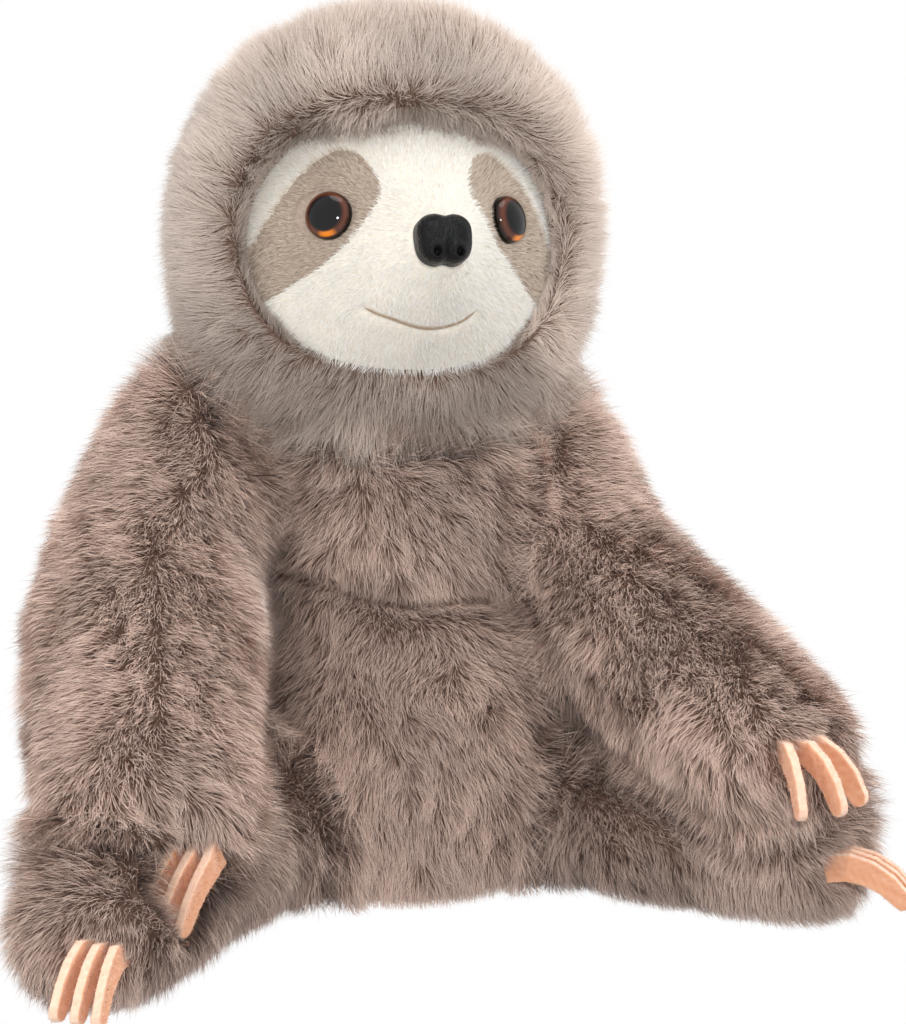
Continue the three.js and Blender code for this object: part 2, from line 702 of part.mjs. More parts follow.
// Head: a furry hood round a short-pile face, all stuffed, with two eyes and a nose held by
// shanks through the cloth and washers behind it.
function makeHead() {
  const reach = head.radius + overrun;
  const neck = (grow) => rodAlong(headCentre, UP.clone().negate(), head.neckHoleRadius + grow, reach);
  const panel = solid(facePanelForm(), facePlace);
  const opening = solid(facePlug(-gap, 0, reach), facePlace);
  const behind = solid(facePlug(clothThickness.face + gap + faceEase, 0), facePlace);
  const outer = hoodForm(0);
  const hollow = (inset) => hoodForm(-clothThickness.hood - inset, coarse(facets.hood));
  const hood = outer.subtract(hollow(0)).subtract(opening).subtract(neck(0));
  let stuffing = hollow(gap).subtract(opening).add(behind).add(neck(-gap).intersect(outer));
  let skin = panel;

  const behindCloth = -clothThickness.face - washer.behindCloth;
  const washerProfile = (shankRadius, grow) => [
    [shankRadius + gap - grow, behindCloth - washer.thickness - grow],
    [washer.radius + grow, behindCloth - washer.thickness - grow],
    [washer.radius + grow, behindCloth + grow],
    [shankRadius + gap - grow, behindCloth + grow],
    [shankRadius + gap - grow, behindCloth - washer.thickness - grow],
  ];
  // Cuts room for a washer and a shank that reaches this far behind the face.
  const cutFor = (place, shankRadius, shankEnd, pocket) => {
    const room = solid(disc(shankRadius + gap, shankEnd - gap, overrun), place)
      .add(solid(disc(washer.radius + gap, behindCloth - washer.thickness - gap, behindCloth + gap), place))
      .add(pocket);
    stuffing = stuffing.subtract(room);
    skin = skin.subtract(room);
    return room;
  };

  const prisms = { left: patchPrism(1, 0), right: patchPrism(-1, 0) };
  for (const [which, side] of [['left', 1], ['right', -1]]) {
    const place = onFace(side * eye.across, eye.up);
    const shankEnd = -eye.sink - eye.shankLength;
    const seatTop = eye.backThickness - eye.sink;
    const back = turned([
      [0, shankEnd],
      [eye.shankRadius, shankEnd],
      [eye.shankRadius, -eye.sink],
      [eye.radius, -eye.sink],
      [eye.radius, seatTop],
      [eye.pupilRadius, seatTop],
      [eye.pupilRadius, seatTop + eye.pupilHeight],
      [0, seatTop + eye.pupilHeight],
    ]);
    const lensFoot = seatTop + gap;
    const dome = Array.from({ length: facets.cap + 1 }, (_, i) => {
      const a = (i / facets.cap) * Math.PI / 2;
      return [eye.radius * Math.cos(a), lensFoot + eye.domeHeight * Math.sin(a)];
    });
    dome.at(-1)[0] = 0;
    const lens = turned([
      [0, lensFoot + eye.pupilHeight],
      [eye.pupilRadius + gap, lensFoot + eye.pupilHeight],
      [eye.pupilRadius + gap, lensFoot],
      ...dome,
    ]);
    const pocket = solid(disc(eye.radius + gap, -eye.sink - gap, overrun), place);
    const room = cutFor(place, eye.shankRadius, shankEnd, pocket);
    const patch = panel.intersect(prisms[which]).subtract(room);
    skin = skin.subtract(patchPrism(side, gap));
    headGroup.add(
      piece(`eye_patch_${which}`, patch, colour.patch),
      piece(`eye_back_${which}`, solid(back, place), colour.blackPlastic),
      piece(`eye_lens_${which}`, solid(lens, place), colour.amber),
      piece(`eye_washer_${which}`, solid(turned(washerProfile(eye.shankRadius, 0)), place), colour.washer),
    );
  }

  const nosePlace = onFace(0, -nose.drop);
  const noseSolid = solid(noseForm(), nosePlace);
  const shankEnd = -nose.sink - nose.shankLength;
  const pocket = solid(noseOutline(gap, -nose.sink - gap, overrun), nosePlace);
  cutFor(nosePlace, nose.shankRadius, shankEnd, pocket);
  const shank = solid(disc(nose.shankRadius, shankEnd, 0), nosePlace);
  let moulded = noseSolid.add(shank);
  for (const side of [1, -1]) {
    const nostril = new THREE.SphereGeometry(nose.nostrilRadius, facets.round / 2, facets.round / 4);
    nostril.translate(side * nose.nostrilSpacing / 2, -nose.nostrilDrop, nose.depth - nose.sink);
    moulded = moulded.subtract(solid(nostril, nosePlace));
  }
  headGroup.add(
    piece('nose', moulded, colour.nose),
    piece('nose_washer', solid(turned(washerProfile(nose.shankRadius, 0)), nosePlace), colour.washer),
    piece('face_panel', skin, colour.faceCream),
    piece('hood', hood, colour.fur),
    piece('head_stuffing', stuffing, colour.stuffing),
  );
}

// Outline of the nose as radii at an angle: a rounded square, narrower below, notched in the
// middle of its top and bottom.
function noseRadiusAt(a, grow) {
  const rim = roundedShare(a, nose.roundness);
  const waist = 1 + nose.flareShare * rim.y;
  const notch = nose.notchShare * Math.exp(-((rim.x / nose.notchWidthShare) ** 2));
  return new THREE.Vector2(
    rim.x * (nose.halfWidth + grow) * waist,
    rim.y * (nose.halfHeight + grow) * (1 - notch),
  );
}

function noseOutline(grow, from, to) {
  const ring = (height) => Array.from({ length: facets.noseSides }, (_, s) => {
    const point = noseRadiusAt((s / facets.noseSides) * 2 * Math.PI, grow);
    return new THREE.Vector3(point.x, point.y, height);
  });
  return skinOver([ring(from), ring(to)], new THREE.Vector3(0, 0, from), new THREE.Vector3(0, 0, to));
}

// The nose's front swells from a straight-sided foot into a rounded cushion.
function noseForm() {
  const rings = [];
  const add = (share, height) => {
    rings.push(Array.from({ length: facets.noseSides }, (_, s) => {
      const point = noseRadiusAt((s / facets.noseSides) * 2 * Math.PI, 0).multiplyScalar(share);
      return new THREE.Vector3(point.x, point.y, height);
    }));
  };
  const front = nose.depth - nose.sink;
  add(1, -nose.sink);
  for (let i = 0; i < facets.noseRings; i++) {
    const a = (i / facets.noseRings) * Math.PI / 2;
    const height = THREE.MathUtils.lerp(nose.footHeight, front, Math.sin(a));
    add(Math.cos(a) ** nose.cushionPower, height);
  }
  return skinOver(rings, new THREE.Vector3(0, 0, -nose.sink), new THREE.Vector3(0, 0, front));
}

makeTorso();
for (const limb of limbs) makeLimb(limb);
makeHead();

export default root;
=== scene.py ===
"""A plush toy sloth: real strands of pile on sewn skins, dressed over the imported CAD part."""
import math

import bpy
import numpy as np
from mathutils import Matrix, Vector
from mathutils.bvhtree import BVHTree
from mathutils.kdtree import KDTree


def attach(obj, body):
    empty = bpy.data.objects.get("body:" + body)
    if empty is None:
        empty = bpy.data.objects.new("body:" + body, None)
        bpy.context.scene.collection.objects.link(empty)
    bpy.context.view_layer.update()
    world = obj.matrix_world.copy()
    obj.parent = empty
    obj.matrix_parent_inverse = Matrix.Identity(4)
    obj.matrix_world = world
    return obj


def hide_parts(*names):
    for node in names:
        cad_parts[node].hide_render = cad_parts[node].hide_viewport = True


MM = 0.001
THIN = 1

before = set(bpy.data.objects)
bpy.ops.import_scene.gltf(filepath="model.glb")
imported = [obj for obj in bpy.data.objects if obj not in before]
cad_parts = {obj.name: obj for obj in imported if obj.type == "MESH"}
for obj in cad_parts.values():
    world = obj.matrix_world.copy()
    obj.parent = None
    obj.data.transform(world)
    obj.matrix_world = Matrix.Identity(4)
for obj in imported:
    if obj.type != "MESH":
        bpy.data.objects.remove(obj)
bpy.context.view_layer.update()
scene = bpy.context.scene


# ---------- shader nodes
def node_in(tree, kind, inputs=None, **settings):
    """A new shader node, with values for its settings and its inputs."""
    made = tree.nodes.new("ShaderNode" + kind)
    for name, value in settings.items():
        setattr(made, name, value)
    for name, value in (inputs or {}).items():
        made.inputs[name].default_value = value
    return made


def join(tree, *pairs):
    """Links each pair of an output and an input."""
    for out, into in pairs:
        tree.links.new(out, into)


# ---------- camera, light, backdrop
AZ, EL, DISTANCE = math.radians(-18), math.radians(13), 1300
VIEW = np.array([math.sin(AZ) * math.cos(EL), -math.cos(AZ) * math.cos(EL), math.sin(EL)])
RIGHT = np.array([math.cos(AZ), math.sin(AZ), 0.0])
UP = np.cross(VIEW, RIGHT)
UP = UP if UP[2] > 0 else -UP
AIM = np.array([0, -40, 110.0]) + RIGHT * 6.6 + UP * 14.4

camera = bpy.data.objects.new("camera", bpy.data.cameras.new("camera"))
scene.collection.objects.link(camera)
camera.data.lens = 146.25
camera.data.sensor_width = 36
camera.location = (AIM + VIEW * DISTANCE) * MM
camera.rotation_euler = Vector(VIEW).to_track_quat("Z", "Y").to_euler()
camera.data.clip_start = 0.01
camera.data.clip_end = 20
scene.camera = camera
scene.view_settings.view_transform = "Standard"


def area_light(name, place, aim, power, size):
    data = bpy.data.lights.new(name, "AREA")
    data.shape = "DISK"
    data.energy = power
    data.size = size
    light = bpy.data.objects.new(name, data)
    scene.collection.objects.link(light)
    # The two large lamps would show as grey discs in the eyes.
    light.visible_glossy = size < 1
    light.location = place
    light.rotation_euler = (Vector(place) - Vector(aim)).to_track_quat("Z", "Y").to_euler()


area_light("key", (-1.65, -0.1, 0.75), (0, -0.02, 0.14), 12, 1.1)
area_light("fill", (1.55, -0.3, 0.85), (0, -0.02, 0.14), 13.3, 1.1)
area_light("top", (0.1, 0.0, 1.25), (0, -0.02, 0.15), 3.8, 0.8)
area_light("front", (-0.32, -1.25, 0.6), (0, -0.05, 0.16), 6.6, 0.16)

world = bpy.data.worlds.new("world")
scene.world = world
world.use_nodes = True
wt = world.node_tree
wt.nodes.clear()
w_out, w_mix, w_rays = (node_in(wt, kind) for kind in ("OutputWorld", "MixShader", "LightPath"))
w_seen = node_in(wt, "Background", {"Color": (1, 1, 1, 1), "Strength": 1.0})
w_light = node_in(wt, "Background", {"Color": (0.97, 0.98, 1, 1), "Strength": 0.75})
w_seen_by = w_rays.outputs["Is Camera Ray"]
for kind in ("Glossy", "Transmission"):
    either = node_in(wt, "Math", operation="MAXIMUM")
    join(wt, (w_seen_by, either.inputs[0]), (w_rays.outputs[f"Is {kind} Ray"], either.inputs[1]))
    w_seen_by = either.outputs[0]
join(
    wt, (w_seen_by, w_mix.inputs["Fac"]), (w_light.outputs[0], w_mix.inputs[1]),
    (w_seen.outputs[0], w_mix.inputs[2]), (w_mix.outputs[0], w_out.inputs["Surface"]),
)


# ---------- small tools
def linear(rgb):
    """sRGB 0 to 255 as linear values with alpha."""
    shares = [c / 255 for c in rgb]
    return tuple(c / 12.92 if c <= 0.04045 else ((c + 0.055) / 1.055) ** 2.4 for c in shares) + (1.0,)


def unit(v):
    return v / np.maximum(np.linalg.norm(v, axis=-1, keepdims=True), 1e-9)


def tangential(v, n):
    return v - n * (v * n).sum(-1, keepdims=True)


def smoothstep(a, b, x):
    t = np.clip((x - a) / (b - a), 0, 1)
    return t * t * (3 - 2 * t)


def wave_noise(points, pitch, seed, count=9):
    """Smooth vector noise, about -1 to 1, with features about pitch wide."""
    rng = np.random.default_rng(seed)
    total = np.zeros((len(points), 3))
    for _ in range(count):
        way = unit(rng.normal(size=3)) * 2 * math.pi / (pitch * rng.uniform(1.3, 3.2))
        total += np.sin((points @ way)[:, None] + rng.uniform(0, 2 * math.pi, 3))
    return total / math.sqrt(count / 2) / 1.6


def make_object(name, verts, faces, material, smooth=True):
    """A mesh object from millimetre points and a list or array of faces."""
    mesh = bpy.data.meshes.new(name)
    mesh.from_pydata([tuple(v) for v in np.asarray(verts) * MM], [], [tuple(int(i) for i in f) for f in faces])
    mesh.update()
    if smooth:
        mesh.polygons.foreach_set("use_smooth", np.ones(len(mesh.polygons), bool))
    mesh.materials.append(material)
    obj = bpy.data.objects.new(name, mesh)
    scene.collection.objects.link(obj)
    return obj


def arrays(obj):
    """Millimetre points, triangles and vertex normals of an object's mesh."""
    mesh = obj.data
    mesh.calc_loop_triangles()
    v = np.zeros(len(mesh.vertices) * 3)
    mesh.vertices.foreach_get("co", v)
    f = np.zeros(len(mesh.loop_triangles) * 3, np.int32)
    mesh.loop_triangles.foreach_get("vertices", f)
    v = v.reshape(-1, 3) / MM
    f = f.reshape(-1, 3)
    return v, f, vertex_normals(v, f)


def vertex_normals(v, f):
    face = np.cross(v[f[:, 1]] - v[f[:, 0]], v[f[:, 2]] - v[f[:, 0]])
    n = np.zeros_like(v)
    for k in range(3):
        np.add.at(n, f[:, k], face)
    return unit(n)


def settle(obj):
    """Applies an object's modifiers to its mesh."""
    graph = bpy.context.evaluated_depsgraph_get()
    mesh = bpy.data.meshes.new_from_object(obj.evaluated_get(graph))
    obj.modifiers.clear()
    obj.data = mesh


def remeshed(name, verts, faces, voxel, material):
    """An object of these points and faces, remeshed in voxels of so many millimetres."""
    obj = make_object(name, verts, faces, material)
    remesh = obj.modifiers.new("remesh", "REMESH")
    remesh.mode = "VOXEL"
    remesh.voxel_size = voxel * MM
    settle(obj)
    return obj


def tree_of(points):
    """A search tree of points."""
    tree = KDTree(len(points))
    for i, point in enumerate(points):
        tree.insert(point, i)
    tree.balance()
    return tree


def spline(a, b, c, d, t):
    """The point at t between b and c of a smooth curve through four points."""
    return 0.5 * (2 * b + (c - a) * t + (2 * a - 5 * b + 4 * c - d) * t * t + (3 * b - a - 3 * c + d) * t ** 3)


def rounded_square(sides, power):
    """Points around a superellipse that reaches 1 each way."""
    angle = np.linspace(0, 2 * math.pi, sides, endpoint=False)
    turned = np.stack([np.cos(angle), np.sin(angle)], 1)
    return np.sign(turned) * np.abs(turned) ** (2 / power)


def ring_faces(rings, sides, first=0, closed=False):
    """Quads between rings of points that follow one another, and the two end faces where it is closed."""
    faces = []
    for k in range(rings - 1):
        low, high = first + k * sides, first + (k + 1) * sides
        faces += [(low + i, low + (i + 1) % sides, high + (i + 1) % sides, high + i) for i in range(sides)]
    if closed:
        last = (rings - 1) * sides
        faces += [tuple(range(sides))[::-1], tuple(last + i for i in range(sides))]
    return faces


# ---------- materials
def new_material(name, **values):
    """A material, its nodes and its shader, with values for the shader's own sockets."""
    material = bpy.data.materials.new(name)
    material.use_nodes = True
    tree = material.node_tree
    shader = tree.nodes["Principled BSDF"]
    for socket, value in values.items():
        shader.inputs[socket.replace("_", " ")].default_value = value
    return material, tree, shader


def ramp(tree, stops):
    node = node_in(tree, "ValToRGB")
    elements = node.color_ramp.elements
    while len(elements) < len(stops):
        elements.new(0.5)
    for element, (at, rgb) in zip(elements, stops):
        element.position = at
        element.color = linear(rgb)
    return node


def pile_material(name, stops, shade_low, shade_high, sheen):
    """Strand colour: a ramp from root to tip along v, made paler or darker by u, strand by strand."""
    material, tree, shader = new_material(
        name, Roughness=0.7, Specular_IOR_Level=0.3, Sheen_Weight=sheen, Sheen_Roughness=0.5
    )
    uv = node_in(tree, "UVMap", uv_map="OFBake")
    split = node_in(tree, "SeparateXYZ")
    along = ramp(tree, stops)
    value = node_in(tree, "MapRange", {"To Min": shade_low, "To Max": shade_high})
    scale = node_in(tree, "VectorMath", operation="SCALE")
    join(
        tree, (uv.outputs["UV"], split.inputs[0]), (split.outputs["Y"], along.inputs["Fac"]),
        (split.outputs["X"], value.inputs["Value"]), (along.outputs["Color"], scale.inputs[0]),
        (value.outputs["Result"], scale.inputs["Scale"]), (scale.outputs["Vector"], shader.inputs["Base Color"]),
    )
    return material


def add_bump(tree, shader, texture, height, strength, distance, invert=False):
    """Lifts the surface by a texture that keeps its place on the object."""
    place = node_in(tree, "TexCoord")
    lift = node_in(tree, "Bump", {"Strength": strength, "Distance": distance}, invert=invert)
    join(
        tree, (place.outputs["Object"], texture.inputs["Vector"]),
        (texture.outputs[height], lift.inputs["Height"]), (lift.outputs["Normal"], shader.inputs["Normal"]),
    )


def cloth_material(name, low, high, scale):
    """Knitted backing or felt: two tones of fine noise with a bump."""
    material, tree, shader = new_material(name, Roughness=0.95, Specular_IOR_Level=0.2)
    noise = node_in(tree, "TexNoise", {"Scale": scale, "Detail": 6})
    tone = ramp(tree, [(0.3, low), (0.7, high)])
    join(tree, (noise.outputs["Fac"], tone.inputs["Fac"]), (tone.outputs["Color"], shader.inputs["Base Color"]))
    add_bump(tree, shader, noise, "Fac", 0.3, 0.0004)
    return material


FUR = pile_material(
    "fur_pile",
    [(0.0, (96, 70, 58)), (0.3, (150, 124, 110)), (0.65, (193, 168, 154)), (1.0, (216, 194, 181))],
    0.6, 1.4, sheen=0.15,
)
HOOD_FUR = pile_material(
    "hood_pile",
    [(0.0, (124, 101, 88)), (0.35, (172, 151, 137)), (0.7, (203, 186, 173)), (1.0, (221, 206, 195))],
    0.72, 1.28, sheen=0.15,
)
CREAM = pile_material(
    "cream_pile",
    [(0.0, (232, 228, 219)), (0.4, (240, 237, 230)), (1.0, (246, 244, 238))],
    0.93, 1.05, sheen=0.1,
)
GREIGE = pile_material(
    "patch_pile",
    [(0.0, (168, 150, 132)), (0.5, (197, 181, 163)), (1.0, (216, 202, 186))],
    0.82, 1.18, sheen=0.1,
)
BACKING = cloth_material("fur_backing", (96, 72, 60), (120, 96, 84), 900)
CREAM_BACKING = cloth_material("cream_backing", (222, 213, 198), (240, 232, 219), 900)
GREIGE_BACKING = cloth_material("patch_backing", (150, 132, 118), (174, 156, 141), 900)


# ---------- skins of the stuffed pieces
LIMBS = ("arm_left", "arm_right", "leg_left", "leg_right")
CLAW_NAMES = ("inner", "middle", "outer")
SKIN_VOXEL, BAG_VOXEL = 2.4, 5


def skin(name, nodes):
    """The outside of some CAD nodes as one smooth closed skin."""
    verts, faces, offset = [], [], 0
    for node in nodes:
        v, f, _ = arrays(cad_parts[node])
        verts.append(v)
        faces.append(f + offset)
        offset += len(v)
    obj = remeshed(name, np.concatenate(verts), np.concatenate(faces), SKIN_VOXEL, BACKING)
    v, f, _ = arrays(obj)
    # Only the outermost body is kept.
    edges = np.concatenate([f[:, [0, 1]], f[:, [1, 2]], f[:, [2, 0]]])
    label = np.arange(len(v))
    while True:
        low = np.minimum(label[edges[:, 0]], label[edges[:, 1]])
        after = label.copy()
        np.minimum.at(after, edges[:, 0], low)
        np.minimum.at(after, edges[:, 1], low)
        after = after[after]
        if (after == label).all():
            break
        label = after
    names, counts = np.unique(label, return_counts=True)
    keep = label == names[counts.argmax()]
    f = f[keep[f[:, 0]]]
    index = np.cumsum(keep) - 1
    f = index[f]
    v = v[keep]
    bpy.data.objects.remove(obj)
    v = smooth_points(v, f, 6)
    return v, f, vertex_normals(v, f)


NEIGHBOUR, PRESSED = 14, 0.9


def set_in(body, inset):
    """A skin drawn in to where its pile is rooted, hardly at all where a neighbour presses."""
    v, f, n = FULL[body]
    clear = np.full(len(v), 99.0)
    for other, tree in FULL_TREES.items():
        if other == body:
            continue
        low, high = FULL[other][0].min(0) - NEIGHBOUR, FULL[other][0].max(0) + NEIGHBOUR
        for i in np.flatnonzero(((v > low) & (v < high)).all(1)):
            place, _, _, far = tree.find_nearest(v[i], NEIGHBOUR)
            if place is not None:
                clear[i] = min(clear[i], far)
    depth = PRESSED + (inset - PRESSED) * smoothstep(3.0, 11.0, clear)
    depth = depth - 1.5 * np.exp(-(((clear - 6) / 3) ** 2))
    for point in CLAW_POINTS:
        depth = np.maximum(depth, inset * smoothstep(9, 5, np.linalg.norm(v - point, axis=1)))
    v = smooth_points(v - n * depth[:, None], f, 3)
    CLEAR[body] = clear
    return v, f, vertex_normals(v, f)


def smooth_points(v, f, rounds):
    edges = np.concatenate([f[:, [0, 1]], f[:, [1, 2]], f[:, [2, 0]]])
    edges = np.unique(np.sort(edges, axis=1), axis=0)
    count = np.zeros(len(v))
    np.add.at(count, edges[:, 0], 1)
    np.add.at(count, edges[:, 1], 1)
    for turn in range(rounds * 2):
        total = np.zeros_like(v)
        np.add.at(total, edges[:, 0], v[edges[:, 1]])
        np.add.at(total, edges[:, 1], v[edges[:, 0]])
        pull = 0.6 if turn % 2 == 0 else -0.55
        v = v + (total / count[:, None] - v) * pull
    return v


# ---------- the face's own frame
HEAD = np.array([0.0, 5.0, 207.5])
PITCH, ROLL = math.radians(-12), math.radians(4)
FACE_TURN = np.array([
    [1, 0, 0],
    [0, math.cos(PITCH), -math.sin(PITCH)],
    [0, math.sin(PITCH), math.cos(PITCH)],
]) @ np.array([
    [math.cos(ROLL), 0, math.sin(ROLL)],
    [0, 1, 0],
    [-math.sin(ROLL), 0, math.cos(ROLL)],
])
FACE_HALF, FACE_DROP = np.array([50.6, 39.3]), 6.7
FACE_POWER = 2.3


DOME_R, DOME_BACK, MUZZLE = 58, 17.5, 17


def face_out(x, z):
    """How far the face stands out: a dome with the muzzle on it."""
    dome = np.sqrt(np.maximum(DOME_R ** 2 - x ** 2 - (z + FACE_DROP) ** 2, 0)) - DOME_BACK
    return dome + MUZZLE * np.exp(-((x / 19) ** 2) - ((z + 12) / 24) ** 2)


def face_point(x, z, out=0.0):
    """Toy-frame points on the face, out millimetres off its surface along the face's axis."""
    local = np.stack([x, -(face_out(x, z) + out), z], -1)
    return local @ FACE_TURN.T + HEAD


def face_normal(x, z):
    step = 0.05
    dx = face_point(x + step, z) - face_point(x - step, z)
    dz = face_point(x, z + step) - face_point(x, z - step)
    return unit(np.cross(dx, dz))


def in_face_frame(points):
    return (points - HEAD) @ FACE_TURN


def face_reach(x, z):
    """1 on the face's outline, less inside it."""
    across, up = np.abs(x / FACE_HALF[0]), np.abs((z + FACE_DROP) / FACE_HALF[1])
    return (across ** FACE_POWER + up ** FACE_POWER) ** (1 / FACE_POWER)


PATCH = np.array([
    [0.28, 0.4], [0.32, 0.6], [0.4, 0.71], [0.51, 0.71], [0.65, 0.58], [0.78, 0.39], [0.89, 0.15],
    [0.99, -0.07], [1.25, -0.14], [1.25, -0.5], [0.95, -0.5], [0.72, -0.31], [0.52, -0.08], [0.37, 0.18],
])


def round_loop(points, steps=6):
    """A closed smooth loop through points."""
    n = len(points)
    out = []
    for i in range(n):
        a, b, c, d = points[i - 1], points[i], points[(i + 1) % n], points[(i + 2) % n]
        out += [spline(a, b, c, d, k / steps) for k in range(steps)]
    return np.array(out)


PATCH_LOOP = round_loop(PATCH)


def in_patch(x, z):
    """Whether places on the face lie in the patch of their own side."""
    px, pz = np.abs(x) / FACE_HALF[0], (z + FACE_DROP) / FACE_HALF[1]
    inside = np.zeros(px.shape, bool)
    for a, b in zip(PATCH_LOOP, np.roll(PATCH_LOOP, -1, axis=0)):
        crosses = (a[1] > pz) != (b[1] > pz)
        rise = b[1] - a[1] if abs(b[1] - a[1]) > 1e-9 else 1e-9
        inside ^= crosses & (px < a[0] + (pz - a[1]) * (b[0] - a[0]) / rise)
    return inside


# ---------- pile
def scatter(v, f, n, count, rng, *values):
    """Points spread evenly over a skin, with their normals and any other values of its vertices."""
    a, b, c = v[f[:, 0]], v[f[:, 1]], v[f[:, 2]]
    area = np.linalg.norm(np.cross(b - a, c - a), axis=1)
    which = rng.choice(len(f), count, p=area / area.sum())
    r1, r2 = np.sqrt(rng.random(count)), rng.random(count)
    w = np.stack([1 - r1, r1 * (1 - r2), r1 * r2], 1)[:, :, None]
    points = (v[f[which]] * w).sum(1)
    return points, unit((n[f[which]] * w).sum(1)), *((value[f[which]] * w[:, :, 0]).sum(1) for value in values)


class Style:
    """How one sort of pile grows, in millimetres."""

    def __init__(self, length, width, rise, lean, per_lock, pull, stray, steps=(0.0, 0.4, 0.75, 1.0)):
        self.length, self.width, self.rise, self.lean = length, width, rise, lean
        self.per_lock, self.pull, self.stray, self.steps = per_lock / THIN, pull, stray, steps


def curve_at(root, normal, flow, length, stand, style, t):
    """A strand's point at t: it leaves its root steeply and bends over along the flow, less where it stands."""
    up = style.rise * (1.25 * t - 0.25 * t * t) * (1 + 0.4 * stand)
    over = style.lean * (0.45 * t + 0.55 * t * t) * (1 - 0.8 * stand)
    return root + (normal * up[:, None] + flow * over[:, None]) * length[:, None]


def strands(root, normal, flow, length, shade, style, rng, stand=None):
    """Points (strand, step, 3) and shades for tapering ribbons of pile."""
    count = len(root)
    stand = np.zeros(count) if stand is None else stand
    steps = np.array(style.steps)
    # Locks: the strands near a lock's middle close up on it towards their tips.
    middles = rng.choice(count, max(4, int(count / style.per_lock)), replace=False)
    tree = tree_of(root[middles])
    own = np.fromiter((middles[tree.find(p)[1]] for p in root), np.int64, count)
    pull = style.pull * (0.55 + 0.45 * rng.random(count))
    lines = np.zeros((count, len(steps), 3))
    wobble = rng.normal(size=(count, 3)) * style.stray
    for k, t in enumerate(steps):
        p = curve_at(root, normal, flow, length, stand, style, t) + wobble * length[:, None] * t * t
        q = curve_at(root[own], normal[own], flow[own], length[own], stand[own], style, t)
        k_pull = (pull * t ** 1.3)[:, None]
        lines[:, k] = p + (q - p) * k_pull
    shade = np.clip(shade + 0.12 * rng.normal(size=count) + 0.5 * (shade[own] - shade), 0, 1)
    return lines, shade


PIECE_TRIANGLES, LOWEST = 195_000, 0.25


def ribbons(name, lines, shade, normal, style, rng, material, body, root_tone=None):
    """Objects that hold the strands as flat tapering ribbons, each under the exporter's limit of triangles."""
    count, steps = lines.shape[:2]
    root_tone = np.zeros(count) if root_tone is None else root_tone
    lines[:, :, 2] = np.maximum(lines[:, :, 2], LOWEST)
    along = unit(np.gradient(lines, axis=1))
    side = unit(np.cross(along[:, 0], normal))
    over = np.cross(side, along[:, 0])
    twist = rng.uniform(-1.25, 1.25, count)[:, None]
    across = side * np.cos(twist) + over * np.sin(twist)
    facing = np.cross(across, along[:, 1])
    turn = np.where((facing * normal).sum(1) < 0, -1.0, 1.0)[:, None]
    across *= turn
    facing *= turn
    lit = unit(normal * 0.9 + facing * 0.5)
    t = np.array(style.steps)
    width = style.width * (1 - 0.72 * t ** 1.6) * (0.8 + 0.4 * rng.random(count))[:, None] / 2
    width = width * math.sqrt(THIN)
    left = lines - across[:, None] * width[:, :, None]
    right = lines + across[:, None] * width[:, :, None]
    each = 2 * (steps - 1) + 1
    verts = np.zeros((count, each, 3))
    verts[:, 0:each - 1:2] = left[:, :-1]
    verts[:, 1:each - 1:2] = right[:, :-1]
    verts[:, -1] = lines[:, -1]
    verts[:, :, 2] = np.maximum(verts[:, :, 2], 0.05)
    v_uv = np.zeros(each)
    v_uv[0:each - 1:2] = t[:-1]
    v_uv[1:each - 1:2] = t[:-1]
    v_uv[-1] = 1
    tris = []
    for k in range(steps - 2):
        a = 2 * k
        tris += [(a, a + 1, a + 3), (a, a + 3, a + 2)]
    tris.append((each - 3, each - 2, each - 1))
    tris = np.array(tris, np.int32)
    most = PIECE_TRIANGLES // len(tris)
    parts = max(1, math.ceil(count / most))
    for part in range(parts):
        pick = np.arange(part, count, parts)
        m = len(pick)
        mesh = bpy.data.meshes.new(f"{name}_{part + 1}" if parts > 1 else name)
        faces = (tris[None] + (np.arange(m) * each)[:, None, None]).reshape(-1, 3)
        mesh.vertices.add(m * each)
        mesh.vertices.foreach_set("co", (verts[pick] * MM).astype(np.float32).ravel())
        mesh.loops.add(len(faces) * 3)
        mesh.loops.foreach_set("vertex_index", faces.astype(np.int32).ravel())
        mesh.polygons.add(len(faces))
        mesh.polygons.foreach_set("loop_start", np.arange(0, len(faces) * 3, 3, dtype=np.int32))
        mesh.polygons.foreach_set("use_smooth", np.ones(len(faces), bool))
        uv = mesh.uv_layers.new(name="OFBake")
        u = np.repeat(shade[pick], each)[faces.ravel()]
        v = (root_tone[pick, None] + (1 - root_tone[pick, None]) * v_uv).ravel()[faces.ravel()]
        place = np.stack([0.02 + 0.96 * u, 0.01 + 0.98 * v], 1)
        uv.data.foreach_set("uv", place.astype(np.float32).ravel())
        mesh.update()
        normals = mesh.attributes.new("custom_normal", "FLOAT_VECTOR", "POINT")
        normals.data.foreach_set("vector", np.repeat(lit[pick], each, axis=0).astype(np.float32).ravel())
        mesh.materials.append(material)
        obj = bpy.data.objects.new(mesh.name, mesh)
        scene.collection.objects.link(obj)
        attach(obj, body)


# ---------- build the skins
BODY_INSET, HEAD_INSET = 3.4, 3.6
PIECES = {
    "torso": (["chest_panel", "belly_panel", "back_panel", "torso_stuffing"], BODY_INSET),
    "head": (["hood", "head_stuffing"], HEAD_INSET),
}
for limb in LIMBS:
    PIECES[limb] = ([f"{limb}_fur", f"{limb}_stuffing"], BODY_INSET)
FULL = {body: skin(f"{body}_skin", nodes) for body, (nodes, inset) in PIECES.items()}
FULL_TREES = {body: BVHTree.FromPolygons(v.tolist(), f.tolist()) for body, (v, f, n) in FULL.items()}
CLAW_TWIST = {"arm_left": 0, "arm_right": 20, "leg_left": 0, "leg_right": 20}
CLAW_BEND = {"arm_left": 0, "arm_right": 3.0, "leg_left": 0, "leg_right": 3.0}


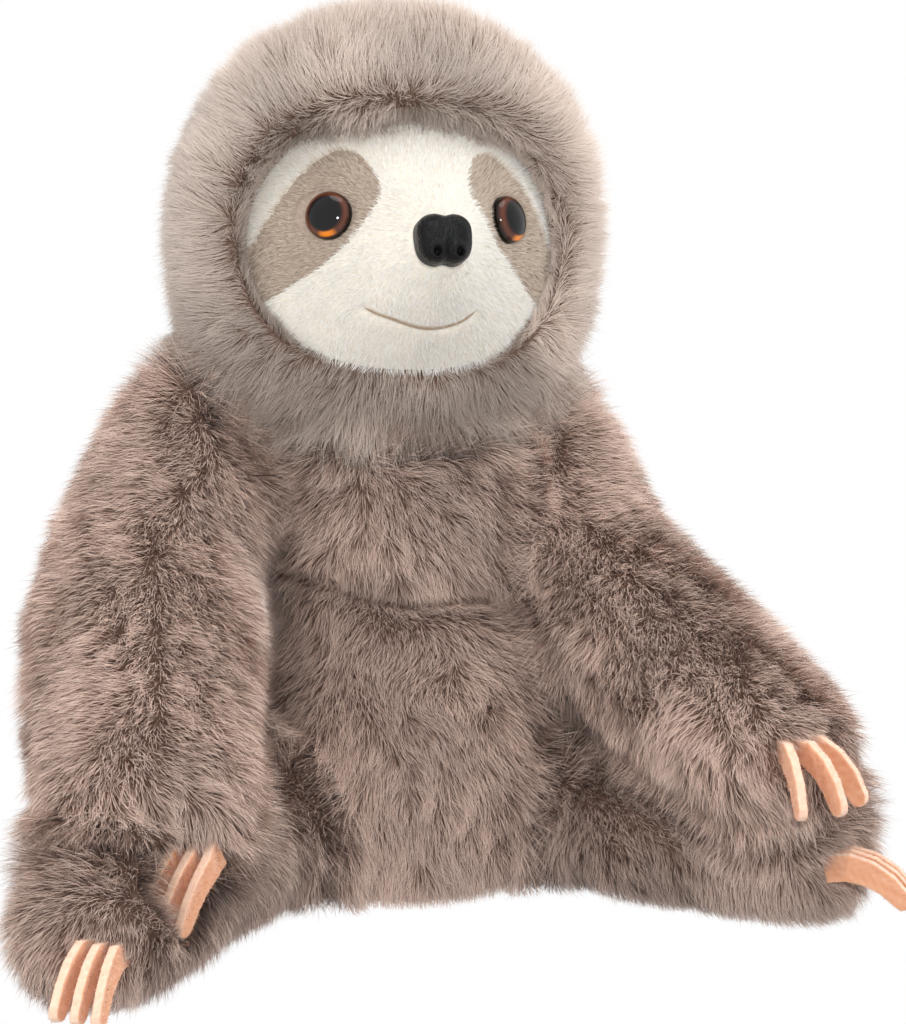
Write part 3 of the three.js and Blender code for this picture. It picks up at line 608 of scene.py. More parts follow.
def claw_shape(limb, which):
    """A claw's CAD points and faces turned a little about its length, its root, its way and its thin axis."""
    v, f, _ = arrays(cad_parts[f"{limb}_claw_{which}"])
    middle = v.mean(0)
    _, _, axes = np.linalg.svd(v - middle, full_matrices=False)
    along, thin = axes[0], axes[2]
    reach = (v - middle) @ along
    ends = [v[reach < reach.min() + 3].mean(0), v[reach > reach.max() - 3].mean(0)]
    paw = FULL_TREES[limb]
    depth = [(Vector(e) - paw.find_nearest(e)[0]).dot(paw.find_nearest(e)[1]) for e in ends]
    base, tip = ends if depth[0] < depth[1] else ends[::-1]
    along = unit(tip - base)
    thin = thin * (1 if thin @ RIGHT > 0 else -1)
    # The root dips into the pile, and the blade bends sideways towards its tip.
    far = (v - base) @ along
    out = np.array(paw.find_nearest(base)[1])
    out = unit(out - along * (out @ along))
    v = v - out * (6.5 * smoothstep(9, 0, far))[:, None]
    v = v - thin * (CLAW_BEND[limb] * (far / far.max()) ** 2)[:, None]
    twist = math.radians(CLAW_TWIST[limb])
    sense = 1 if np.cross(along, thin) @ VIEW > 0 else -1
    away = v - base
    flat = along * (away @ along)[:, None]
    v = base + flat + (away - flat) * math.cos(twist) + np.cross(along, away) * sense * math.sin(twist)
    thin = thin * math.cos(twist) + np.cross(along, thin) * sense * math.sin(twist)
    return v, f, base, along, thin


CLAWS = {
    limb: [claw_shape(limb, which) for which in CLAW_NAMES]
    for limb in LIMBS
}
CLAW_POINTS = [
    base + along * k for claws in CLAWS.values() for _, _, base, along, _ in claws for k in range(6, 26, 3)
]

CLEAR = {}
SKINS = {body: set_in(body, inset) for body, (nodes, inset) in PIECES.items()}
WAIST = 92.0


def above_waist(p):
    """How far points lie above the torso's waist seam, which slants a little and wavers."""
    return p[:, 2] - (WAIST + 3 - 0.16 * p[:, 0] + 1.6 * np.sin(p[:, 0] / 7.0))


def shaped(body, v, f):
    """The sewn seams drawn in, the torso's waist and the hood where the face is let in, and full sides."""
    n = vertex_normals(v, f)
    if body == "torso":
        above = above_waist(v)
        v = v - n * (5.4 * np.exp(-((above / 4.0) ** 2)) * smoothstep(0.1, -0.6, n[:, 1]))[:, None]
        full = 3.4 * np.exp(-(((above - 4) / 13) ** 2)) * smoothstep(0.45, 0.85, np.abs(n[:, 0]))
        v = v + n * full[:, None]
        full = 3.0 * np.exp(-(((above + 4) / 12) ** 2)) * smoothstep(-0.45, -0.85, n[:, 0])
        v = v + n * full[:, None]
        v = smooth_points(v, f, 2)
    if body == "head":
        local = in_face_frame(v)
        x, z = local[:, 0], local[:, 2]
        reach = np.maximum(face_reach(x, z), 0.3)
        edge = face_out(x / reach, (z + FACE_DROP) / reach - FACE_DROP)
        most = edge + 1.0 + 42 * np.clip(reach - 0.98, 0, 1)
        proud = np.maximum(-local[:, 1] - most, 0) * (local[:, 1] < 0) * smoothstep(1.6, 1.35, reach)
        v = v + FACE_TURN @ np.array([0, 1, 0]) * proud[:, None]
        v = smooth_points(v, f, 20)
    return v, f, vertex_normals(v, f)


def held(body, p):
    """How firmly seams hold a bag's cloth, 0 to 1: at the waist, the face's rim and the claws' roots."""
    hold = np.zeros(len(p))
    for _, _, base, along, _ in CLAWS.get(body, []):
        hold = np.maximum(hold, smoothstep(26, 14, np.linalg.norm(p - base - along * 8, axis=1)))
    if body == "torso":
        hold = smoothstep(14, 5, np.abs(above_waist(p)))
    if body == "head":
        local = in_face_frame(p)
        hold = (local[:, 1] < 0) * smoothstep(1.5, 1.25, face_reach(local[:, 0], local[:, 2]))
    return hold


GIVE, PRESSURE, STEPS = 1.5, 60, 20


def stuffed(body, v, f):
    """The skin rounded by its stuffing: cloth under pressure, which moves less beside a neighbour."""
    slack = (1 - held(body, v)) * smoothstep(4, 9, CLEAR[body])
    bag = remeshed(f"{body}_bag", v, f, BAG_VOXEL, BACKING)
    start = arrays(bag)[0]
    seam = bag.vertex_groups.new(name="seam")
    seam.add([int(i) for i in np.flatnonzero(held(body, start) > 0.8)], 1.0, "REPLACE")
    cloth = bag.modifiers.new("cloth", "CLOTH")
    cloth.settings.use_pressure = True
    cloth.settings.uniform_pressure_force = PRESSURE
    cloth.settings.effector_weights.gravity = 0
    cloth.settings.vertex_group_mass = "seam"
    cloth.point_cache.frame_start, cloth.point_cache.frame_end = 1, STEPS
    for step in range(1, STEPS + 1):
        scene.frame_set(step)
    settle(bag)
    move = arrays(bag)[0] - start
    scene.frame_set(1)
    bpy.data.objects.remove(bag)
    far = np.linalg.norm(move, axis=1)
    move *= np.minimum(1, GIVE / np.maximum(far, 1e-6))[:, None]
    tree = tree_of(start)
    for i, point in enumerate(v):
        near = tree.find_n(point, 4)
        weight = np.array([1 / (far + 0.5) ** 2 for _, _, far in near])
        step = (move[[j for _, j, _ in near]] * weight[:, None]).sum(0) / weight.sum()
        v[i] += step * slack[i]
    v = smooth_points(v, f, 1)
    v[:, 2] = np.maximum(v[:, 2], 0.3)
    return v, f, vertex_normals(v, f)


SKINS = {body: shaped(body, v, f) for body, (v, f, n) in SKINS.items()}
SKINS = {body: stuffed(body, v, f) for body, (v, f, n) in SKINS.items()}
TREES = {body: BVHTree.FromPolygons(v.tolist(), f.tolist()) for body, (v, f, n) in SKINS.items()}

for body, (v, f, n) in SKINS.items():
    obj = make_object(f"{body}_skin", v, f, BACKING)
    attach(obj, body)
    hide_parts(*PIECES[body][0])

FUR_STYLE = Style(length=10.0, width=0.17, rise=0.66, lean=0.52, per_lock=12, pull=0.22, stray=0.13)
FACE_STYLE = Style(
    length=2.4, width=0.16, rise=0.6, lean=0.6, per_lock=8, pull=0.3, stray=0.12, steps=(0.0, 0.6, 1.0)
)
FELT_STYLE = Style(
    length=0.75, width=0.09, rise=0.8, lean=0.5, per_lock=6, pull=0.2, stray=0.5, steps=(0.0, 0.6, 1.0)
)
# Strands to a square millimetre, on average and skin by skin, and how pale each skin's pile is set, from 0 to 1,
# which is painted light: one fur set darker on the skins in shade, the left leg most.
DENSITY_MEAN = 3.5
DENSITY = {"head": 3.7, "torso": 3.4, "arm_left": 3.5, "arm_right": 3.5, "leg_left": 3.2, "leg_right": 3.2}
# Painted light: the same pile is set paler or darker skin by skin, the left leg darkest, as light falls on each.
PILE_TONE_AND_LIGHT = {"head": 0.61, "torso": 0.74, "arm_left": 0.9, "arm_right": 0.94, "leg_left": 0.48, "leg_right": 0.62}
SHOULDER = {1: np.array([55, 3, 130.0]), -1: np.array([-66, 3, 141.0])}


PARTING_PITCH, PARTING_REACH, PARTING = 15.0, 5.0, 0.8


def part_at_random(p, n, way, seed):
    """Bends the pile's way apart around scattered spots, where the darker roots then show."""
    rng = np.random.default_rng(seed)
    count = max(1, int(len(p) / (DENSITY_MEAN / THIN * PARTING_PITCH ** 2)))
    spots = p[rng.choice(len(p), count, replace=False)]
    tree = tree_of(spots)
    nearest = np.fromiter((tree.find(q)[1] for q in p), np.int64, len(p))
    off = p - spots[nearest]
    reach = PARTING_REACH * (0.6 + 0.8 * rng.random(len(spots)))[nearest]
    far = np.linalg.norm(off, axis=1)
    push = PARTING * np.exp(-((far / reach) ** 2)) * smoothstep(0, 0.35, far / reach)
    return unit(tangential(way + unit(off) * push[:, None], n))


def flow_of(body, p, n):
    """The way that a skin's pile lies."""
    if body == "head":
        middle = HEAD + np.array([0, -70, -8.0])
        way = unit(p - middle)
        behind = smoothstep(-10, 45, p[:, 1])[:, None]
        way = way + np.array([0, 0, -1.3]) * behind
        collar = smoothstep(-20, -60, p[:, 2] - HEAD[2])[:, None]
        way = way + np.array([0, 0, -0.9]) * collar
    elif body == "torso":
        way = np.tile(np.array([0, -0.15, -1.0]), (len(p), 1))
        way = way + (p - np.array([0, 5.0, 0])) * np.array([1, 1, 0]) * 0.05 * np.maximum(n[:, 2:], 0)
    elif body.startswith("arm"):
        side = 1 if body.endswith("left") else -1
        paw = np.array([side * 95, -85, 50.0])
        axis = unit(paw - SHOULDER[side])
        way = np.tile(axis * 0.9 + np.array([side * 0.25, 0, -0.5]), (len(p), 1))
        # The pile parts along the front of the arm.
        across = unit(np.cross(axis, np.array([side * 0.3, -1.0, 0.2])))
        down = (p - SHOULDER[side]) @ axis
        off = (p - SHOULDER[side]) @ across - side * 7 * np.sin(down / 13.0) - side * (16 - 0.32 * down)
        front = smoothstep(-0.2, 0.6, n @ unit(np.array([side * 0.3, -1.0, 0.2])))
        way = way + across * (np.tanh(off / 6) * front * 0.7)[:, None]
    else:
        side = 1 if body.endswith("left") else -1
        way = np.tile(np.array([side * 0.45, -0.4, -0.65]), (len(p), 1))
    way = unit(tangential(way, n))
    way = way + 0.35 * tangential(wave_noise(p, 22, 5), n) + 0.2 * tangential(wave_noise(p, 8, 6), n)
    return unit(tangential(way, n))


def depth_in_others(body, points, reach=16.0, margin=0.5):
    """How deep points lie in other bodies' skins, and where each would come out."""
    depth = np.zeros(len(points))
    out = points.copy()
    for other, tree in TREES.items():
        if other == body:
            continue
        low, high = SKINS[other][0].min(0) - margin, SKINS[other][0].max(0) + margin
        for i in np.flatnonzero(((out > low) & (out < high)).all(1)):
            place, way, _, _ = tree.find_nearest(out[i], reach)
            if place is None:
                continue
            under = margin - (Vector(out[i]) - place).dot(way)
            if under > 0:
                depth[i] = max(depth[i], under)
                out[i] = np.array(place + way * margin)
    return depth, out


def press_against_others(body, lines):
    """Strands bent so that they lie against whatever they would have grown into."""
    count, steps = lines.shape[:2]
    middles = lines[:, 1:].reshape(-1, 3)
    _, out = depth_in_others(body, middles)
    lines = lines.copy()
    lines[:, 1:] = out.reshape(count, steps - 1, 3)
    return lines


def grow(body, seed):
    """Grows a skin's pile."""
    rng = np.random.default_rng(seed)
    v, f, n = SKINS[body]
    area = np.linalg.norm(np.cross(v[f[:, 1]] - v[f[:, 0]], v[f[:, 2]] - v[f[:, 0]]), axis=1).sum() / 2
    count = int(area * DENSITY[body] / THIN)
    root, normal, clear = scatter(v, f, n, count, rng, CLEAR[body])
    keep = depth_in_others(body, root + normal * 1.2)[0] < 1.2
    if body == "head":
        local = in_face_frame(root)
        within = face_reach(local[:, 0], local[:, 2])
        keep &= ~((within < 0.97) & (local[:, 1] < 0))
    root, normal, clear = root[keep], normal[keep], clear[keep]
    count = len(root)
    flow = flow_of(body, root, normal)
    flow = part_at_random(root, normal, flow, seed + 50)
    patchy = wave_noise(root, 16, 8)[:, 0]
    length = FUR_STYLE.length * (1 + 0.1 * patchy + 0.09 * rng.normal(size=count))
    if body == "head":
        length *= 1.05
    shade = PILE_TONE_AND_LIGHT[body] + 0.17 * patchy + 0.1 * wave_noise(root, 45, 9)[:, 1]
    root_tone = np.zeros(count)
    # In the creases between two stuffed pieces the pile stands and fills them.
    stand = 0.8 * smoothstep(14, 5, clear)
    length = length * (1 + 0.45 * smoothstep(14, 9, clear) * smoothstep(3, 6, clear))
    if body == "head":
        local = in_face_frame(root)
        reach = face_reach(local[:, 0], local[:, 2])
        front = local[:, 1] < 0
        rim = smoothstep(1.3, 1.02, reach) * front
        edge = smoothstep(1.18, 1.0, reach) * front
        brow = smoothstep(0.3, 0.85, (local[:, 2] + FACE_DROP) / FACE_HALF[1])
        brow = brow * smoothstep(40, 22, np.abs(local[:, 0]))
        length = length * (1 - 0.5 * rim * (1 - brow))
        fold = np.exp(-(((reach - 1.3) / 0.22) ** 2)) * front
        # Painted light: the roots are paler at the face's rim, at the brow and on the fold above it, which lifts
        # the shade that falls there.
        root_tone = np.maximum(0.4 * rim + 0.35 * rim * brow, 0.6 * fold)
        stand = np.where(reach < 1.3, edge * brow - 0.6 * rim * (1 - brow), stand)
        # Painted shade and light: the pile and its roots darken below the face, where shade falls, the brow is
        # paler, and the hood's right side is darker than its left as the light falls.
        low = smoothstep(-15, -50, local[:, 2]) * front
        shade = shade + (0.42 * patchy - 0.5) * low + 0.2 * rim * brow
        shade = shade - 0.3 * smoothstep(-20, -60, local[:, 0]) + 0.12 * smoothstep(10, 50, local[:, 0])
        root_tone = root_tone * (1 - 0.6 * low)
    # The pile is short where a claw lies on it, and lies over the claws' roots.
    claw_far = np.full(count, 99.0)
    for point in CLAW_POINTS:
        claw_far = np.minimum(claw_far, np.linalg.norm(root + normal * 3 - point, axis=1))
    length = length * (0.16 + 0.84 * smoothstep(4, 11, claw_far))
    for _, _, base, along, _ in CLAWS.get(body, []):
        near = smoothstep(10, 4, np.linalg.norm(root - base, axis=1))
        along_claw = tangential(np.tile(along, (count, 1)), normal)
        flow = unit(flow * (1 - near)[:, None] + along_claw * near[:, None])
        length = np.maximum(length, 8.5 * near)
    if body == "torso":
        # Painted shade at the waist seam: the pile darkens in a wavering band just above the seam, more on the
        # toy's right, and darkest in the crease itself.
        above = above_waist(root)
        painted_waist_shade = 0.4 + wave_noise(root, 7, 12)[:, 0] + 0.5 * smoothstep(10, -20, root[:, 0])
        painted_waist_shade = np.clip(painted_waist_shade, 0, 1.4) * np.exp(-(((above - 4) / 7) ** 2)) * (normal[:, 1] < 0)
        shade = shade - 0.45 * painted_waist_shade - 0.35 * np.exp(-((above / 2.4) ** 2))
        hem = smoothstep(9, 2, above) * smoothstep(-1.5, 0.5, above) * (normal[:, 1] < 0)
        length = length * (1 - 0.5 * hem)
        stand = np.maximum(stand, 0.5 * hem)
        flow = unit(flow + hem[:, None] * 0.8 * tangential(wave_noise(root, 6, 14), normal))
    lines, shade = strands(root, normal, flow, length, shade, FUR_STYLE, rng, stand)
    lines = press_against_others(body, lines)
    fur = HOOD_FUR if body == "head" else FUR
    ribbons(f"{body}_pile", lines, shade, normal, FUR_STYLE, rng, fur, body, root_tone)


for i, body in enumerate(SKINS):
    grow(body, 100 + i)


# ---------- face
MOUTH = np.array([
    [-18.4, -27.2], [-14.6, -29.2], [-11.2, -30.4], [-6.2, -32.2], [-0.8, -33.4], [4.8, -33.2], [10.4, -31.8],
    [13.8, -30.2], [17.0, -27.8],
])


def mouth_distance(x, z):
    best = np.full(len(x), 99.0)
    for a, b in zip(MOUTH[:-1], MOUTH[1:]):
        d = b - a
        t = np.clip(((x - a[0]) * d[0] + (z - a[1]) * d[1]) / (d @ d), 0, 1)
        best = np.minimum(best, np.hypot(x - a[0] - t * d[0], z - a[1] - t * d[1]))
    return best


def face_panel():
    """The face's cloth under its pile: its points and faces, and where each point lies on the face."""
    rings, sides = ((64, 240))
    rim = rounded_square(sides, FACE_POWER)
    places, outs = [np.array([[0.0, -FACE_DROP]])], [np.full(1, -1.3)]
    for k in range(1, rings + 1):
        share = (k / rings) ** 0.8
        places.append(rim * (FACE_HALF - 0.4) * share - np.array([0, FACE_DROP]))
        outs.append(np.full(sides, -1.3))
    for depth in (-2.5, -4.5, -6.5):
        places.append(rim * (FACE_HALF - 0.3) - np.array([0, FACE_DROP]))
        outs.append(np.full(sides, depth))
    xz = np.concatenate(places)
    out = np.concatenate(outs)
    out = out - 1.5 * np.exp(-((mouth_distance(xz[:, 0], xz[:, 1]) / 1.6) ** 2)) * (out > -2)
    verts = face_point(xz[:, 0], xz[:, 1], out)
    faces = [(0, 1 + (i + 1) % sides, 1 + i) for i in range(sides)]
    faces += ring_faces(rings + 3, sides, first=1)
    return verts, np.array([f if len(f) == 4 else (*f, -1) for f in faces]), xz


face_verts, face_faces, face_xz = face_panel()
centre_xz = np.array([face_xz[f[f >= 0]].mean(0) for f in face_faces])
patch_face = in_patch(centre_xz[:, 0], centre_xz[:, 1])
parts = {
    "face_cloth": (~patch_face, CREAM_BACKING, ["face_panel"]),
    "eye_patch_cloth_left": (patch_face & (centre_xz[:, 0] > 0), GREIGE_BACKING, ["eye_patch_left"]),
    "eye_patch_cloth_right": (patch_face & (centre_xz[:, 0] < 0), GREIGE_BACKING, ["eye_patch_right"]),
}
for name, (pick, material, nodes) in parts.items():
    faces = [tuple(i for i in f if i >= 0)[::-1] for f in face_faces[pick]]
    used = sorted({i for f in faces for i in f})
    index = {old: new for new, old in enumerate(used)}
    obj = make_object(name, face_verts[used], [tuple(index[i] for i in f) for f in faces], material)
    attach(obj, "head")
    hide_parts(*nodes)

EYES = {side: (side * 29.2, 1.2) for side in (1, -1)}


def face_pile():
    rng = np.random.default_rng(7)
    count = int(86000 / THIN)
    x = rng.uniform(-FACE_HALF[0], FACE_HALF[0], count)
    z = rng.uniform(-FACE_HALF[1], FACE_HALF[1], count) - FACE_DROP
    slope = face_normal(x, z)
    axis = FACE_TURN @ np.array([0, -1, 0])
    keep = face_reach(x, z) < 1.0
    keep &= rng.random(count) < np.clip(0.42 / np.maximum(slope @ axis, 0.25), 0, 1)
    for side, (ex, ez) in EYES.items():
        keep &= np.hypot(x - ex, z - ez) > 8.0
    keep &= np.hypot(x / 9.0, (z + 7.5) / 8.2) > 1.0
    x, z, slope = x[keep], z[keep], slope[keep]
    root = face_point(x, z, -1.35)
    middle = face_point(np.array([0.0]), np.array([-6.0]), 0)[0]
    way = unit(tangential(unit(root - middle) + np.array([0, 0, -0.25]), slope))
    way = unit(tangential(way + 0.5 * wave_noise(root, 9, 3), slope))
    length = FACE_STYLE.length * (1 + 0.14 * rng.normal(size=len(x)))
    length = length * (1 + 0.3 * smoothstep(0.93, 1.0, face_reach(x, z)))
    shade = 0.5 + 0.14 * wave_noise(root, 5, 4)[:, 0]
    # The smile is a stitched crease, so the pile parts along it.
    crease = mouth_distance(x, z)
    length = length * (0.45 + 0.55 * smoothstep(0.3, 2.4, crease))
    # Painted shade: the pile darkens along the crease.
    shade = shade - 0.9 * np.exp(-((crease / 1.0) ** 2))
    root = root - slope * (1.5 * np.exp(-((crease / 1.6) ** 2)))[:, None]
    grey = in_patch(x + rng.normal(size=len(x)) * 0.25, z)
    lines, shade = strands(root, slope, way, length, shade, FACE_STYLE, rng)
    for name, pick, material in (
        ("face_pile", ~grey, CREAM),
        ("eye_patch_pile_left", grey & (x > 0), GREIGE),
        ("eye_patch_pile_right", grey & (x < 0), GREIGE),
    ):
        ribbons(name, lines[pick], shade[pick], slope[pick], FACE_STYLE, rng, material, "head")


face_pile()


# ---------- eyes, nose and washers
def face_place(x, z):
    """Where a fitting sits square on the face: its right, up and out axes as rows, and its origin."""
    step = 0.01
    right = face_point(x + step, z) - face_point(x - step, z)
    up = face_point(x, z + step) - face_point(x, z - step)
    out = unit(np.cross(right, up))
    right = unit(right - out * (right @ out))
    return np.array([right, np.cross(out, right), out]), face_point(x, z)


def placed(points, place):
    axes, origin = place
    return np.asarray(points, float) @ axes + origin


def lathe(profile, sides=72):
    """Points and faces of a shape turned about z from [radius, height] pairs; pairs on the axis close it."""
    verts, rings, faces = [], [], []
    for radius, height in profile:
        turns = 1 if radius == 0 else sides
        rings.append(range(len(verts), len(verts) + turns))
        for k in range(turns):
            a = 2 * math.pi * k / sides
            verts.append((radius * math.cos(a), radius * math.sin(a), height))
    for low, high in zip(rings[:-1], rings[1:]):
        for k in range(sides):
            m = (k + 1) % sides
            face = [low[k % len(low)], low[m % len(low)], high[m % len(high)], high[k % len(high)]]
            faces.append(tuple(dict.fromkeys(face)))
    return np.array(verts), faces


def fitting(name, shape, place, material, node=None, sharp=35):
    verts, faces = shape
    obj = make_object(name, placed(verts, place), faces, material)
    obj.data.set_sharp_from_angle(angle=math.radians(sharp))
    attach(obj, "head")
    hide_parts(node or name)
    return obj


def plastic(name, rgb, roughness):
    return new_material(name, Base_Color=linear(rgb), Roughness=roughness)[0]


def amber_material():
    """Amber lens over its black pupil: a ramp by radius, and a painted crescent of light at the foot, where a
    real lens gathers light.
    """
    material, tree, shader = new_material("eye_amber", Roughness=0.03, Specular_IOR_Level=0.35)
    uv = node_in(tree, "UVMap", uv_map="OFBake")
    centred = node_in(tree, "VectorMath", {1: (2, 2, 0), 2: (-1, -1, 0)}, operation="MULTIPLY_ADD")
    radius = node_in(tree, "VectorMath", operation="LENGTH")
    iris = ramp(tree, [
        (0.0, (4, 4, 6)), (0.66, (5, 5, 7)), (0.7, (20, 10, 8)), (0.76, (66, 32, 20)), (0.87, (98, 54, 36)),
        (0.94, (76, 42, 30)), (0.98, (32, 18, 14)), (1.0, (16, 11, 9)),
    ])
    # Painted light: distance from a spot low on the lens marks the bright orange crescent.
    spot = node_in(tree, "VectorMath", {1: (0.12, -0.92, 0)}, operation="DISTANCE")
    painted_crescent_light = ramp(tree, [(0.0, (255, 255, 255)), (0.26, (215, 215, 215)), (0.46, (0, 0, 0))])
    band = ramp(tree, [(0.73, (0, 0, 0)), (0.8, (255, 255, 255)), (0.91, (255, 255, 255)), (0.965, (0, 0, 0))])
    amount = node_in(tree, "Math", operation="MULTIPLY")
    mix = node_in(tree, "Mix", data_type="RGBA")
    # The crescent's painted light is this bright orange.
    mix.inputs["B"].default_value = linear((246, 138, 26))
    join(
        tree, (uv.outputs["UV"], centred.inputs[0]), (centred.outputs["Vector"], radius.inputs[0]),
        (centred.outputs["Vector"], spot.inputs[0]), (radius.outputs["Value"], iris.inputs["Fac"]),
        (radius.outputs["Value"], band.inputs["Fac"]), (spot.outputs["Value"], painted_crescent_light.inputs["Fac"]),
        (painted_crescent_light.outputs["Color"], amount.inputs[0]), (band.outputs["Color"], amount.inputs[1]),
        (amount.outputs["Value"], mix.inputs["Factor"]), (iris.outputs["Color"], mix.inputs["A"]),
        (mix.outputs["Result"], shader.inputs["Base Color"]),
    )
    return material


def nose_material():
    """Black moulded plastic with a fine pebble grain."""
    material, tree, shader = new_material(
        "nose_black", Base_Color=linear((6, 7, 8)), Roughness=0.2, Specular_IOR_Level=0.18
    )
    cells = node_in(tree, "TexVoronoi", {"Scale": 1700})
    add_bump(tree, shader, cells, "Distance", 0.9, 0.0003, invert=True)
    return material


BLACK = plastic("eye_black", (10, 10, 11), 0.25)
WHITE_PLASTIC = plastic("washer", (226, 226, 220), 0.45)
AMBER = amber_material()
NOSE = nose_material()

EYE_R, EYE_DOME, EYE_SINK, EYE_BACK, PUPIL_R, PUPIL_RISE = 7.5, 4.2, 1.4, 1.2, 5.0, 0.8
SHANK_R, SHANK_LENGTH, GAP = 2.2, 11.0, 0.3
WASHER_R, WASHER_THICK, BEHIND = 7.0, 1.2, -3.0


def washer(node, place):
    top, hole, soft = BEHIND, SHANK_R + GAP, 0.25
    low = top - WASHER_THICK
    fitting(node, lathe([
        (hole, low), (WASHER_R - soft, low), (WASHER_R, low + soft), (WASHER_R, top - soft),
        (WASHER_R - soft, top), (hole, top), (hole, low),
    ]), place, WHITE_PLASTIC)


def shank(foot):
    """A washer's ribbed stem, from its end up to the fitting's foot."""
    profile = [(0, foot - SHANK_LENGTH), (SHANK_R - 0.3, foot - SHANK_LENGTH)]
    ribs = 9
    for k in range(ribs):
        low = foot - SHANK_LENGTH + 0.5 + k * (SHANK_LENGTH - 2) / ribs
        profile += [(SHANK_R, low), (SHANK_R, low + 0.5), (SHANK_R - 0.25, low + 0.6)]
    return profile + [(SHANK_R, foot)]


def eye(which, side):
    place = face_place(*EYES[side])
    seat = EYE_BACK - EYE_SINK
    soft = 0.2
    fitting(f"eye_back_{which}", lathe(shank(-EYE_SINK) + [
        (EYE_R - soft, -EYE_SINK), (EYE_R, -EYE_SINK + soft), (EYE_R, seat), (PUPIL_R, seat),
        (PUPIL_R, seat + PUPIL_RISE), (0, seat + PUPIL_RISE),
    ]), place, BLACK)
    foot = seat + GAP
    dome = [(EYE_R * math.cos(a), foot + EYE_DOME * math.sin(a)) for a in np.linspace(0, math.pi / 2, 25)[:-1]]
    verts, faces = lathe([
        (0, foot + PUPIL_RISE), (PUPIL_R + GAP, foot + PUPIL_RISE), (PUPIL_R + GAP, foot), *dome,
        (0, foot + EYE_DOME),
    ])
    lens = fitting(f"eye_lens_{which}", (verts, faces), place, AMBER)
    uv = lens.data.uv_layers.new(name="OFBake")
    around = np.array([verts[loop.vertex_index] for loop in lens.data.loops])[:, :2] / EYE_R
    uv.data.foreach_set("uv", (around * 0.5 + 0.5).astype(np.float32).ravel())
    washer(f"eye_washer_{which}", place)


def nose():
    """The moulded nose: notched top and bottom, a cushion front, two nostrils and the groove between."""
    half_x, half_z, rise, sink, foot = 8.7, 8.0, 7.3, 1.2, 2.2
    sides, rings = 120, 34
    rx, rz = rounded_square(sides, 2.9).T
    notch = 0.1 * np.exp(-((rx / 0.22) ** 2))
    rim = np.stack([rx * half_x * (1 + 0.05 * rz), rz * half_z * (1 - notch)], 1)
    layers = [np.column_stack([rim * share, np.full(sides, -sink)]) for share in (0.3, 1)]
    for a in np.linspace(0, math.pi / 2, rings):
        share = max(max(math.cos(a), 0) ** 0.55, 0.015)
        layers.append(np.column_stack([rim * share, np.full(sides, foot + (rise - foot) * math.sin(a))]))
    verts = np.concatenate(layers)
    for side in (1, -1):
        dx, dz = (verts[:, 0] - side * 3.6) * 1.15, verts[:, 1] + 4.9
        reach = np.hypot(dx, dz)
        front = smoothstep(1.5, 4, verts[:, 2])
        hole, lip = np.exp(-((reach / 1.15) ** 4)), np.exp(-(((reach - 2.1) / 0.8) ** 2))
        verts[:, 2] -= front * (1.5 * hole - 0.4 * lip)
    groove = np.exp(-((verts[:, 0] / 0.7) ** 2)) * smoothstep(1.0, -3.5, verts[:, 1])
    verts[:, 2] -= 0.45 * (groove * smoothstep(1.5, 4, verts[:, 2]))
    place = face_place(0.0, -7.5)
    fitting("nose", (verts, ring_faces(len(layers), sides, closed=True)), place, NOSE, sharp=50)
    fitting("nose_shank", lathe([*shank(-sink), (0, -sink)]), place, NOSE, node="nose")
    washer("nose_washer", place)


eye("left", 1)
eye("right", -1)
nose()


# ---------- claws
def felt_material():
    """Pressed felt: u runs from the broad sides, which are deeper in colour, to the paler cut edge, whose
    paleness is partly the felt's own and partly a painted highlight on the rim.
    """
    material, tree, shader = new_material("claw_felt", Roughness=0.95, Specular_IOR_Level=0.15, Sheen_Weight=0.3)
    uv = node_in(tree, "UVMap", uv_map="OFBake")
    split = node_in(tree, "SeparateXYZ")
    tone = ramp(tree, [(0.0, (222, 160, 122)), (0.45, (236, 184, 151)), (1.0, (245, 211, 186))])
    join(
        tree, (uv.outputs["UV"], split.inputs[0]), (split.outputs["X"], tone.inputs["Fac"]),
        (tone.outputs["Color"], shader.inputs["Base Color"]),
    )
    add_bump(tree, shader, node_in(tree, "TexNoise", {"Scale": 2600, "Detail": 5}), "Fac", 0.5, 0.00025)
    return material


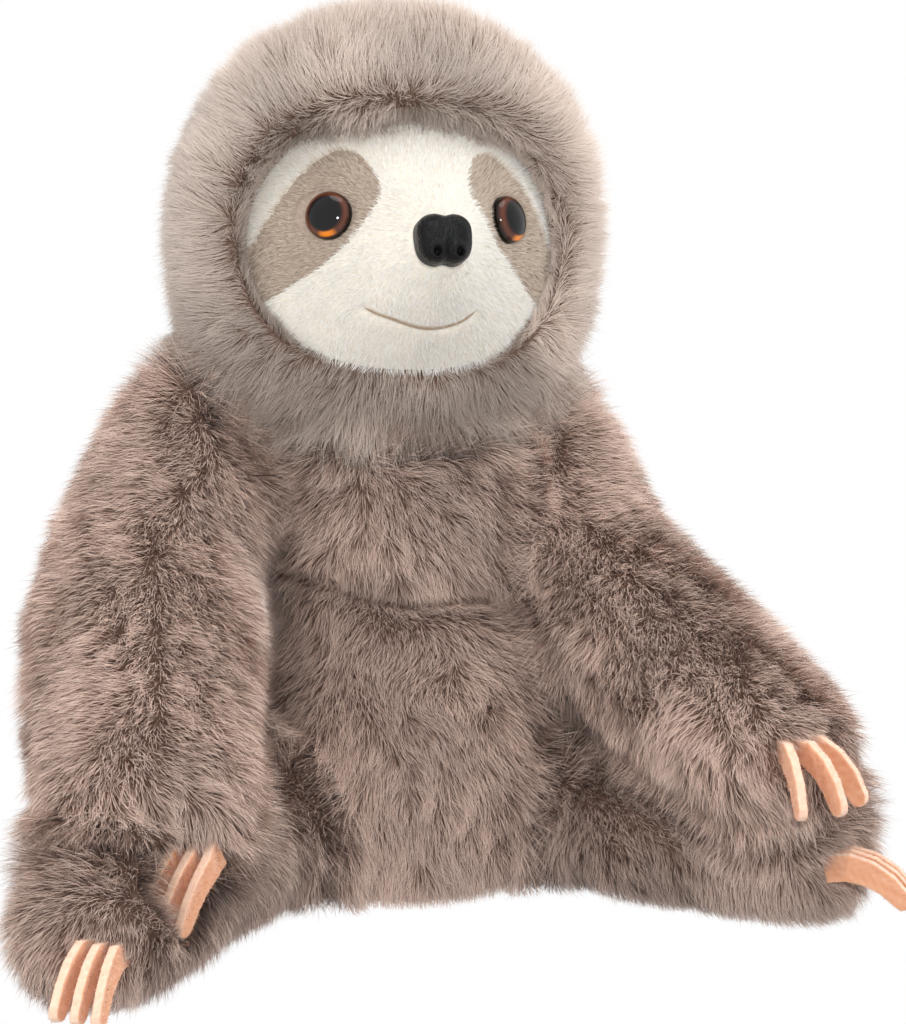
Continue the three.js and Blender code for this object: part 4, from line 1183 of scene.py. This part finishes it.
def mouth_thread():
    """The stitched line of the smile, sunk in its crease."""
    knots = np.array([MOUTH[0], *MOUTH, MOUTH[-1]])
    path = []
    for a, b, c, d in zip(knots[:-3], knots[1:-2], knots[2:-1], knots[3:]):
        path += [spline(a, b, c, d, t) for t in np.linspace(0, 1, 8, endpoint=False)]
    path = np.array([*path, MOUTH[-1]])
    centre = face_point(path[:, 0], path[:, 1], -1.75)
    along = unit(np.gradient(centre, axis=0))
    out = face_normal(path[:, 0], path[:, 1])
    side = unit(np.cross(along, out))
    sides, radius = 8, 0.32
    share = np.linspace(0, 1, len(path))
    taper = smoothstep(0, 0.06, share) * smoothstep(1, 0.94, share)
    rings = [
        centre + (side * math.cos(a) + out * math.sin(a)) * (radius * (0.3 + 0.7 * taper))[:, None]
        for a in np.linspace(0, 2 * math.pi, sides, endpoint=False)
    ]
    verts = np.stack(rings, 1).reshape(-1, 3)
    # Its dark colour is partly the thread's own and partly painted shade of the crease.
    thread_and_crease_shade = cloth_material("mouth_thread", (150, 130, 108), (172, 152, 130), 1500)
    obj = make_object("mouth_thread", verts, ring_faces(len(path), sides, closed=True), thread_and_crease_shade)
    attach(obj, "head")


mouth_thread()
FELT = felt_material()


def claw(limb, which, seed):
    """A felt claw: its blade, and the fuzz on it."""
    rng = np.random.default_rng(seed)
    node = f"{limb}_claw_{which}"
    v, f, _, _, thin = CLAWS[limb][CLAW_NAMES.index(which)]
    v[:, 2] = np.maximum(v[:, 2], 0.3)
    obj = remeshed(node + "_felt", v, f, 0.5, FELT)
    v, f, _ = arrays(obj)
    v = smooth_points(v, f, 3)
    n = vertex_normals(v, f)
    n = unit(smooth_points(n, f, 1))
    bpy.data.objects.remove(obj)
    obj = make_object(node + "_felt", v, f, FELT)
    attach(obj, limb)
    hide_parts(node)
    # The paler rim is partly painted highlight: the tone rises where the surface turns from the broad sides.
    edge = 1 - np.abs(n @ thin)
    fleck = 0.12 * wave_noise(v, 1.2, seed)[:, 0]
    tone = np.clip(smoothstep(0.0, 0.6, edge) * 0.8 + 0.12 + fleck, 0, 1)
    uv = obj.data.uv_layers.new(name="OFBake")
    loops = np.zeros(len(obj.data.loops), np.int32)
    obj.data.loops.foreach_get("vertex_index", loops)
    place = np.stack([tone[loops], np.full(len(loops), 0.5)], 1)
    uv.data.foreach_set("uv", place.astype(np.float32).ravel())
    root, normal = scatter(v, f, n, int(2600 / THIN), rng)
    way = unit(tangential(rng.normal(size=root.shape), normal))
    length = FELT_STYLE.length * (0.6 + 0.5 * rng.random(len(root)))
    # The fuzz takes the same partly painted rim highlight.
    shade = np.clip(smoothstep(0.0, 0.6, 1 - np.abs(normal @ thin)) * 0.8 + 0.15, 0, 1)
    lines, shade = strands(root, normal, way, length, shade, FELT_STYLE, rng)
    ribbons(node + "_fuzz", lines, shade, normal, FELT_STYLE, rng, FELT, limb)


for k, limb in enumerate(LIMBS):
    for m, which in enumerate(CLAW_NAMES):
        claw(limb, which, 500 + 10 * k + m)
